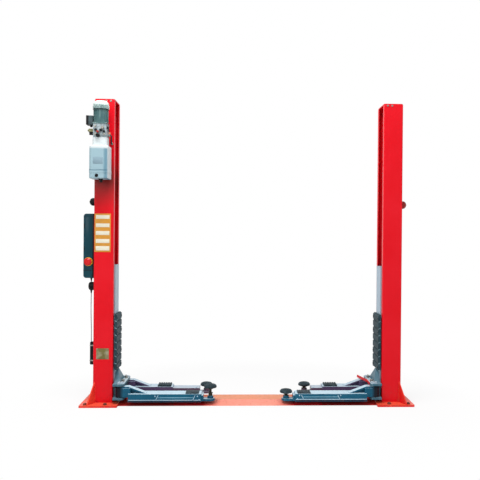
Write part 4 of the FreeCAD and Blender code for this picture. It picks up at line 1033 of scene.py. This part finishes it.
def slanted_strip(name, lower_x, upper_x, heights):
    """An upright strip on an arm's side that leans along it."""
    ends = (lower_x - SLANT_HALF, lower_x + SLANT_HALF)
    piece = side_strip(name, ends, heights)
    unpick(piece)
    for vertex in piece.data.vertices:
        vertex.select = vertex.co.z > sum(heights) / 2
    bpy.ops.object.mode_set(mode="EDIT")
    bpy.ops.transform.translate(value=(upper_x - lower_x, 0, 0))
    bpy.ops.object.mode_set(mode="OBJECT")
    return piece


for side, sign in SIDES.items():
    low, foot_top, high, band_low, band_high = PANEL_HEIGHTS[side]
    arm = f"front_{side}_arm"
    tube_ends = [sign * end for end in TUBE_ENDS]
    strips = [slanted_strip("panel_end", sign * lower_x, sign * upper_x, (low, high))
              for lower_x, upper_x in PANEL_ENDS]
    strips.append(side_strip("panel_foot", tube_ends, (low, foot_top)))
    # The panel's strips are painted pale as highlights
    finished(joined(f"{arm}_panel", strips), "arm_highlight", arm)
    band_ends = (sign * (BAND_ENDS[0] - BAND_GAP), sign * (BAND_ENDS[1] + BAND_GAP))
    band = side_strip(f"front_{side}_panel_band", band_ends, (band_low, band_high), BAND_PROUD)
    finished(band, "arm_band_highlight", arm)
    # A dark strip under the panel is painted shade
    shade_strip = side_strip(f"front_{side}_lower_shade_strip", tube_ends, (SHADE_STRIP_LOW, low), SHADE_STRIP_PROUD, THIN_EDGE)
    finished(shade_strip, "arm_shade", arm)
print("arm panels: 2")

# %% [markdown]
# ### Rubber blocks, screws and welds
# A ribbed rubber block on each tube keeps a sill off bare steel. Its ribs are small blocks in a row on a
# flat base. The block and the welds at the arm's root are modelled once for each row, about the pivot,
# and turned half round for the other side.

# %% Rubber blocks, screws and welds on the arms
PIN_X, PIN_Y = 1.18, 0.155
TUBE_TOP = 0.114
# A row's block: where it begins and ends along the arm, and its height
BLOCK_SPAN = {"front": (0.601, 0.723, 0.011), "rear": (0.312, 0.44, 0.018)}
BASE_HALF, BASE_SUNK, BASE_SHARE = 0.062, 0.0005, 0.7
RIBS, RIB_GAP, RIB_HALF, RIB_REACH, RIB_ROOT = 6, 0.009, 0.0065, 0.06, 0.5
ARM_WELDS = (
    ((0.206, -0.038, TUBE_TOP), (0.24, -0.038, TUBE_TOP)),
    ((0.206, 0.038, TUBE_TOP), (0.24, 0.038, TUBE_TOP)),
    ((0.24, -0.036, TUBE_TOP), (0.24, 0.036, TUBE_TOP)),
    ((0.078, -0.046, 0.08), (0.078, -0.046, 0.112)),
    ((0.078, 0.046, 0.08), (0.078, 0.046, 0.112)),
)
SCREW_SPOTS = {"left": ((-0.855, 0.096), (-0.468, 0.095), (-0.451, 0.064)),
               "right": ((0.854, 0.1), (0.472, 0.1), (0.455, 0.068))}
STOP_SPOTS = {"left": (-0.502, 0.11, 0.1003), "right": (0.639, 0.11, 0.1003)}
for row, fore in ROWS.items():
    start, end, height = BLOCK_SPAN[row]
    ribs = [block("rubber_base", (start, -BASE_HALF, TUBE_TOP - BASE_SUNK),
                  (end, BASE_HALF, TUBE_TOP + height * BASE_SHARE), edge=0.002)]
    for index in range(RIBS):
        rib_x = start + RIB_GAP + index * (end - start - 2 * RIB_GAP) / (RIBS - 1)
        ribs.append(block("rubber_rib", (rib_x - RIB_HALF, -RIB_REACH, TUBE_TOP + height * RIB_ROOT),
                          (rib_x + RIB_HALF, RIB_REACH, TUBE_TOP + height), edge=0.0015))
    rubber = joined("rubber_pattern", ribs)
    beads = [weld_bead("arm_weld", first, last, radius=0.0022) for first, last in ARM_WELDS]
    beads = joined("arm_weld_pattern", beads)
    for side, sign in SIDES.items():
        at = (sign * PIN_X, fore * PIN_Y, 0)
        arm = f"{row}_{side}"
        finished(copied(rubber, f"{arm}_rubber_block", at, faced(sign)), "pad_rubber", f"{arm}_arm")
        finished(copied(beads, f"{arm}_welds", at, faced(sign)), "arm_paint", f"{arm}_arm")
    discard(rubber, beads)
side_screw = socket_screw("side_screw_pattern", radius=0.0062)
stop_bolt = hex_bolt("stop_bolt_pattern", across=0.012)
# The side screws and stop bolts are painted pale as highlights
for side in SIDES:
    places = [(place_x, -ARM_SIDE, place_z) for place_x, place_z in SCREW_SPOTS[side]]
    screws = spread(side_screw, f"front_{side}_side_screws", places, TO_FRONT)
    finished(screws, "arm_highlight", f"front_{side}_arm")
    bolt = copied(stop_bolt, f"rear_{side}_stop_bolt", STOP_SPOTS[side])
    finished(bolt, "arm_highlight", f"rear_{side}_extension")
discard(side_screw, stop_bolt)
print("rubber blocks: 4")

# %% [markdown]
# ## Lifting pads
# A lift pad is domed rubber on a turned steel dish. Rings and studs are moulded in its face so that
# it grips a sill. We turn one profile from a circle, set the studs round it, and copy it four times.

# %% Lifting pads
PAD_STEPS = (
    (0.0462, 0.1168), (0.0462, 0.113), (0.053, 0.1122), (0.0578, 0.1155), (0.0582, 0.123),
    (0.0568, 0.1242), (0.0568, 0.1262), (0.0574, 0.1276), (0.0545, 0.134), (0.049, 0.139),
    (0.0415, 0.1425), (0.033, 0.1448), (0.0322, 0.1438), (0.029, 0.1442), (0.0282, 0.146),
    (0.016, 0.147), (0.015, 0.146), (0.0115, 0.146), (0.0105, 0.1472), (0.002, 0.1472),
)
PAD_ANGLE = 40
STUD_STEPS = ((0.0034, -0.0016), (0.0034, 0.0006), (0.0026, 0.0016), (0.001, 0.002))
# Each ring of studs: how many, its radius and its height
STUD_RINGS = ((14, 0.0435, 0.1414), (7, 0.022, 0.1464))
PAD_SPOTS = {
    "front_left": (-0.352, -PIN_Y, 0.048), "rear_left": (-0.402, PIN_Y, 0.0),
    "front_right": (0.352, -PIN_Y, 0.0), "rear_right": (0.551, PIN_Y, 0.0),
}
stud = turned("stud_pattern", STUD_STEPS, sides=10)
studs = []
for count, radius, height in STUD_RINGS:
    for index in range(count):
        around = 2 * math.pi * index / count
        studs.append(copied(stud, "stud", (radius * math.cos(around), radius * math.sin(around), height)))
pad_pattern = joined("pad_pattern", [turned("pad_dome", PAD_STEPS, sides=56)] + studs)
for name, place in PAD_SPOTS.items():
    rubber = copied(pad_pattern, f"{name}_pad_rubber", place)
    finished(rubber, "pad_rubber", f"{name}_pad", PAD_ANGLE)
    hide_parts(f"{name}_lifting_pad")
discard(pad_pattern, stud)
print("pads:", len(PAD_SPOTS))

# %% [markdown]
# ## Double screws
# Each pad stands on a screw inside a threaded sleeve. Rings cut into both show as the thread, and the
# turned copies take the place of the plain CAD cylinders.

# %% Threads of the double screws
THREAD_PITCH = 0.004
THREAD_DEPTH = 0.0014
# Heights above a ring's start where its crest begins, where it ends and where the root is reached
CREST_START, CREST_END, ROOT = 0.001, 0.0022, 0.0032
SLEEVE_LIFT = 0.024


def threaded(radius, low, high):
    """Profile steps of a round thread from one height to another."""
    steps = []
    for index in range(int((high - low) / THREAD_PITCH)):
        start = low + index * THREAD_PITCH
        steps += [(radius - THREAD_DEPTH, start), (radius, start + CREST_START), (radius, start + CREST_END),
                  (radius - THREAD_DEPTH, start + ROOT)]
    return steps


SCREW_HEAD = [(0.012, 0.0935), (0.012, 0.0948), (0.046, 0.1128), (0.046, 0.1168)]
SLEEVE_HEAD = [(0.018, 0.085), (0.018, 0.0863), (0.024, 0.0863), (0.024, 0.0898), (0.0126, 0.0898),
               (0.0126, 0.0435)]
screw_pattern = turned("screw_pattern", threaded(radius=0.012, low=0.044, high=0.093) + SCREW_HEAD, sides=28)
sleeve_steps = threaded(radius=0.018, low=0.043, high=0.0845) + SLEEVE_HEAD
sleeve_pattern = turned("sleeve_pattern", sleeve_steps, sides=28)
for name, place in PAD_SPOTS.items():
    sleeve_height = SLEEVE_LIFT if place[2] else 0.0
    screw = copied(screw_pattern, f"{name}_threaded_screw", place)
    finished(screw, NODE_SLOT[f"{name}_pad_screw"], f"{name}_pad")
    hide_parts(f"{name}_pad_screw")
    sleeve = copied(sleeve_pattern, f"{name}_threaded_sleeve", (place[0], place[1], sleeve_height))
    finished(sleeve, NODE_SLOT[f"{name}_pad_sleeve"], f"{name}_sleeve")
    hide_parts(f"{name}_pad_sleeve")
discard(screw_pattern, sleeve_pattern)
print("threads:", len(PAD_SPOTS))

# %% [markdown]
# ## Carriages
# Screws hold the ribbed guard on the carriage, and a grease nipple stands on each pivot pin. Thin pale
# pieces on the edges of the guard's ribs and on the bracket's top face are painted highlights.

# %% Guard screws, grease nipples and wear
GUARD_X, GUARD_FOOT, GUARD_PITCH, GUARD_RIBS = 1.221, 0.31, 0.065625, 8
SCREWED_RIBS, GUARD_SCREW_Y, SCREW_DROP = (0, 2, 5, 7), (-0.105, 0.105), 0.003
NIPPLE_STEPS = ((0.0055, 0.0), (0.0055, 0.003), (0.0032, 0.0036), (0.003, 0.007), (0.0038, 0.008),
                (0.0026, 0.01))
PIN_TOP = 0.21
GLINT_HALF = Vector((0.011, 0.0008, 0.0024))
GLINT_X, GLINT_Y, GLINT_Z, GLINT_TILT = 1.2335, 0.1302, 0.312, math.radians(-24)
# A thin pale sheet on each bracket's top face is a painted highlight
SHEET_X, SHEET_HALF, SHEET_Z = (1.146, 1.204), 0.196, (0.1996, 0.2008)
guard_screw = socket_screw("guard_screw_pattern", radius=0.0085)
nipple = turned("nipple_pattern", NIPPLE_STEPS, sides=12)
# Thin pale blocks on the guard's rib edges are painted highlights
glint = block("glint_pattern", -GLINT_HALF, GLINT_HALF)
for side, sign in SIDES.items():
    body = f"{side}_carriage"
    places = [(sign * GUARD_X, place_y, GUARD_FOOT + (rib + 0.5) * GUARD_PITCH - SCREW_DROP)
              for rib in SCREWED_RIBS for place_y in GUARD_SCREW_Y]
    inward = TO_RIGHT if sign < 0 else TO_LEFT
    finished(spread(guard_screw, f"{side}_guard_screws", places, inward), "black_steel", body)
    places = [(sign * PIN_X, fore * PIN_Y, PIN_TOP) for fore in ROWS.values()]
    finished(spread(nipple, f"{side}_grease_nipples", places), "zinc", body)
    places = [(sign * GLINT_X, fore * GLINT_Y, GLINT_Z + rib * GUARD_PITCH)
              for rib in range(GUARD_RIBS) for fore in ROWS.values()]
    finished(spread(glint, f"{side}_guard_glints", places, (0, sign * GLINT_TILT, 0)), "guard_glint_rubber", body)
    low_x, high_x = sorted(sign * place_x for place_x in SHEET_X)
    finished_block(f"{side}_bracket_highlight", "bracket_highlight", (low_x, -SHEET_HALF, SHEET_Z[0]),
                   (high_x, SHEET_HALF, SHEET_Z[1]), body=body)
discard(guard_screw, nipple, glint)
# The worn edges and faces counted here are painted highlights
print("guard screws, nipples, worn edges and faces: 8")

# %% [markdown]
# ## Power unit
# The oil tank is blown plastic with a raised band near its foot, a drain plug and a bare plate.
# Above it stand the valve block with its fittings, the motor on a square flange and the fan cover
# with its ring of air slots.

# %% Oil tank details
TANK_FRONT = -0.355
band = rounded_block("tank_band", low=(-1.4445, TANK_FRONT - 0.0015, 2.132), high=(-1.2715, -0.1685, 2.148),
                     corner=0.025, edge=0.0015)
finished(band, "white_tank")
finished_block("tank_plate", "tank_plate", low=(-1.407, TANK_FRONT - 0.0008, 2.205),
               high=(-1.319, TANK_FRONT + 0.0002, 2.264))
finished_turning(
    "tank_plug", "black_plastic", sides=24, at=(-1.374, TANK_FRONT, 2.1), turn=TO_FRONT,
    steps=((0.015, -0.0005), (0.015, 0.006), (0.013, 0.0085), (0.007, 0.0085), (0.006, 0.004)))
finished_turning(
    "tank_fitting", "black_plastic", sides=20, at=(-1.348, -0.28, 2.075), turn=DOWN,
    steps=((0.02, -0.0005), (0.02, 0.008), (0.014, 0.009), (0.014, 0.026), (0.011, 0.03),
           (0.006, 0.03)))
print("tank details: 4")

# %% [markdown]
# ### Valve block
# Plugs close the drilled channels of the block, cartridges and a red relief valve sit in others, and a
# nut holds each end of the pipe. Each is a turned profile, and with six sides it becomes a hexagon.

# %% Valve block fittings
VALVE_FRONT = -0.31
# Places on the valve block's front, along X and Z
LARGE_PLUG, SMALL_PLUGS = (-1.333, 2.535), ((-1.398, 2.548), (-1.318, 2.476), (-1.398, 2.476))
CARTRIDGES = ((-1.348, 2.514), (-1.393, 2.516), (-1.32, 2.502))
NUT_STEPS = ((0.0125, 0.0), (0.013, 0.001), (0.013, 0.012), (0.011, 0.014))
NUT_SPOTS = (((-1.298, -0.194, 2.48), TO_RIGHT), ((-1.274, -0.15, 2.41), TO_FRONT))
CARTRIDGE_STEPS = ((0.0115, 0.0), (0.0125, 0.001), (0.0125, 0.009), (0.0085, 0.011), (0.0085, 0.026),
                   (0.006, 0.028))


def on_valve(spots):
    """Places on the valve block's front face."""
    return [(place_x, VALVE_FRONT, place_z) for place_x, place_z in spots]


large_plug = hex_bolt("plug_pattern", across=0.022)
small_plug = hex_bolt("small_plug_pattern", across=0.015)
plugs = [spread(large_plug, "large_plug", on_valve([LARGE_PLUG]), TO_FRONT),
         spread(small_plug, "small_plugs", on_valve(SMALL_PLUGS), TO_FRONT)]
finished(joined("valve_plugs", plugs), "zinc")
nut = turned("pipe_nut_pattern", NUT_STEPS, sides=6)
finished(joined("pipe_nuts", [copied(nut, "pipe_nut", at, turn) for at, turn in NUT_SPOTS]), "zinc")
finished_turning(
    "relief_valve", "relief_red", sides=20, at=(-1.374, VALVE_FRONT, 2.496), turn=TO_FRONT,
    steps=((0.01, 0.0), (0.01, 0.006), (0.0075, 0.008), (0.0075, 0.018), (0.0095, 0.02),
           (0.0095, 0.032), (0.0075, 0.035)))
cartridge = turned("cartridge_pattern", CARTRIDGE_STEPS, sides=6)
finished(spread(cartridge, "valve_cartridges", on_valve(CARTRIDGES), TO_FRONT), "black_steel")
finished_turning(
    "suction_port", "black_plastic", sides=20, at=(-1.372, VALVE_FRONT, 2.464), turn=TO_FRONT,
    steps=((0.016, 0.0), (0.017, 0.002), (0.017, 0.014), (0.012, 0.017), (0.012, 0.026)))
finished_block("coil_plug", "black_plastic", low=(-1.4605, -0.2615, 2.4745), high=(-1.4315, -0.2385, 2.512),
               edge=0.0015)
finished_turning(
    "lever_knob", "orange_knob", sides=24, at=(-1.276, -0.2605, 2.488), turn=TO_FRONT,
    steps=((0.006, 0.0), (0.0096, 0.002), (0.011, 0.009), (0.0096, 0.017), (0.006, 0.019)))
discard(large_plug, small_plug, nut, cartridge)
print("valve fittings: 7")

# %% [markdown]
# ### Motor and terminal box
# Four bolts hold the motor's flange. The air slots round the fan cover are a ring in the motor's green
# with pale bars over it, which looks like cut slots and needs far fewer faces. A black ring below it
# is painted shadow under the cover's rim.

# %% Motor flange, terminal lid and fan grille
UNIT_X, UNIT_Y = -1.358, -0.25
FLANGE_HALF, FLANGE_Z = 0.064, (2.5715, 2.581)
BOLT_OUT, BOLT_Z = 0.055, 2.5805
LID_SCREW_X, LID_SCREW_Y, LID_SCREW_Z = -1.4845, (-0.282, -0.218), (2.571, 2.638)
GRILLE_BARS = 44
finished_block("motor_flange", "motor_paint", (UNIT_X - FLANGE_HALF, UNIT_Y - FLANGE_HALF, FLANGE_Z[0]),
               (UNIT_X + FLANGE_HALF, UNIT_Y + FLANGE_HALF, FLANGE_Z[1]), edge=0.0012)
flange_bolt = hex_bolt("flange_bolt_pattern", across=0.01)
corners = [(UNIT_X + across * BOLT_OUT, UNIT_Y + fore * BOLT_OUT, BOLT_Z)
           for across in SIDES.values() for fore in ROWS.values()]
finished(spread(flange_bolt, "flange_bolts", corners), "zinc")
finished_block("terminal_lid", "black_plastic", low=(-1.4846, -0.2908, 2.5622), high=(-1.46, -0.2092, 2.6468),
               edge=0.004, segments=3)
lid_screw = socket_screw("lid_screw_pattern", radius=0.003)
places = [(LID_SCREW_X, place_y, place_z) for place_y in LID_SCREW_Y for place_z in LID_SCREW_Z]
finished(spread(lid_screw, "lid_screws", places, TO_LEFT), "zinc")
finished_turning(
    "terminal_gland", "black_plastic", sides=18, at=(-1.444, UNIT_Y, 2.563), turn=DOWN,
    steps=((0.011, 0.0), (0.011, 0.006), (0.013, 0.007), (0.013, 0.013), (0.009, 0.018),
           (0.005, 0.018)))
finished_turning("fan_grille", "motor_paint", sides=64, at=(UNIT_X, UNIT_Y, 0),
                 steps=((0.07, 2.705), (0.0716, 2.706), (0.0716, 2.74), (0.07, 2.741)))
# A black ring under the fan cover's rim is painted shadow
finished_turning("fan_shadow_ring", "black_steel", sides=64, at=(UNIT_X, UNIT_Y, 0),
                 steps=((0.07, 2.703), (0.0722, 2.7034), (0.0722, 2.7066), (0.07, 2.707)))
bar = block("grille_bar_pattern", low=(0.071, -0.0012, 2.7085), high=(0.0728, 0.0012, 2.7375))
bars = []
for index in range(GRILLE_BARS):
    bars.append(copied(bar, "grille_bar", (UNIT_X, UNIT_Y, 0), (0, 0, 2 * math.pi * index / GRILLE_BARS)))
finished(joined("fan_grille_bars", bars), "fan_paint")
discard(flange_bolt, lid_screw, bar)
print("motor details: 8")

# %% [markdown]
# ## Control box, stop and cable
# The box hangs on a black rail, whose black is partly painted shade in the gap to the post. Its stop
# button sits on a yellow ring, hinges and screws show on its narrow side, and the cable leaves through
# a tapered strain relief.

# %% Control box details
BOX_OUT, BOX_FRONT = -1.539, -0.11
BOX_SCREW_X, BOX_SCREW_Z = (-1.518, -1.464), (1.19, 1.262, 1.74)
HINGE_STEPS = ((0.003, 0.0), (0.0036, 0.0006), (0.0036, 0.044), (0.003, 0.0446))
HINGE_HEIGHTS = (1.42, 1.63)
finished_block("box_seam", "black_plastic", low=(BOX_OUT - 0.0004, BOX_FRONT - 0.0005, 1.236),
               high=(-1.4352, BOX_FRONT + 0.004, 1.2402), edge=0.0003)
# The rail's black is partly painted shade in the gap between box and post
finished_block("box_rail", "black_plastic", low=(-1.456, BOX_FRONT - 0.001, 1.172),
               high=(-1.4352, -BOX_FRONT + 0.001, 1.762), edge=0.0008)
finished_turning("stop_ring", "stop_collar", sides=48, at=(-1.493, BOX_FRONT, 1.32), turn=TO_FRONT,
                 steps=((0.0405, 0.0), (0.0405, 0.003), (0.039, 0.0038), (0.0185, 0.0038)))
box_screw = socket_screw("box_screw_pattern", radius=0.0038)
places = [(place_x, BOX_FRONT, place_z) for place_x in BOX_SCREW_X for place_z in BOX_SCREW_Z]
finished(spread(box_screw, "box_screws", places, TO_FRONT), "black_steel")
hinge = turned("hinge_pattern", HINGE_STEPS, sides=14)
places = [(-1.5325, BOX_FRONT - 0.001, height) for height in HINGE_HEIGHTS]
finished(spread(hinge, "box_hinges", places), "black_steel")
finished_block("box_door", "control_paint", low=(-1.52, BOX_FRONT - 0.0012, 1.39),
               high=(-1.462, BOX_FRONT + 0.0004, 1.735), edge=0.0006)
discard(box_screw, hinge)
print("control box details: 6")

# %% [markdown]
# ### Strain reliefs, latch screws and straps
# Where the cable leaves the box and the hood, a rubber sleeve that tapers keeps it from kinking. Two
# straps hold the conduit below, and one screw holds each round cover.

# %% Strain reliefs, latch screws and straps
RELIEF_STEPS = ((0.011, 0.0), (0.011, 0.006), (0.0085, 0.008), (0.0074, 0.016), (0.0064, 0.024),
                (0.0055, 0.03))
RELIEF_HEIGHTS = {"box": 1.168, "hood": 1.056}
LATCH_PLACE, HOOD_PLACE = (1.5048, 0, 1.88), (-1.4968, -0.06, 1.091)
STRAP_X, STRAP_Y, STRAP_HEIGHTS, STRAP_TALL = (-1.4822, -1.435), (-0.0785, -0.0415), (0.39, 0.53), 0.012
for name, height in RELIEF_HEIGHTS.items():
    finished_turning(f"{name}_strain_relief", "black_plastic", RELIEF_STEPS, sides=20,
                     at=(-1.474, -0.06, height), turn=DOWN)
cover_screw = socket_screw("latch_screw_pattern", radius=0.0065)
for side, sign in SIDES.items():
    outward = TO_LEFT if sign < 0 else TO_RIGHT
    place = (sign * LATCH_PLACE[0], *LATCH_PLACE[1:])
    finished(copied(cover_screw, f"{side}_latch_screw", place, outward), "zinc")
finished(copied(cover_screw, "hood_screw", HOOD_PLACE, TO_LEFT), "zinc")
straps = []
for low in STRAP_HEIGHTS:
    straps.append(block("strap", (STRAP_X[0], STRAP_Y[0], low), (STRAP_X[1], STRAP_Y[1], low + STRAP_TALL),
                        edge=0.003, segments=3))
finished(joined("conduit_straps", straps), "zinc")
discard(cover_screw)
print("strain reliefs: 2, latch and hood screws: 3, straps: 2")

# %% Finish
clear()
bpy.context.view_layer.update()
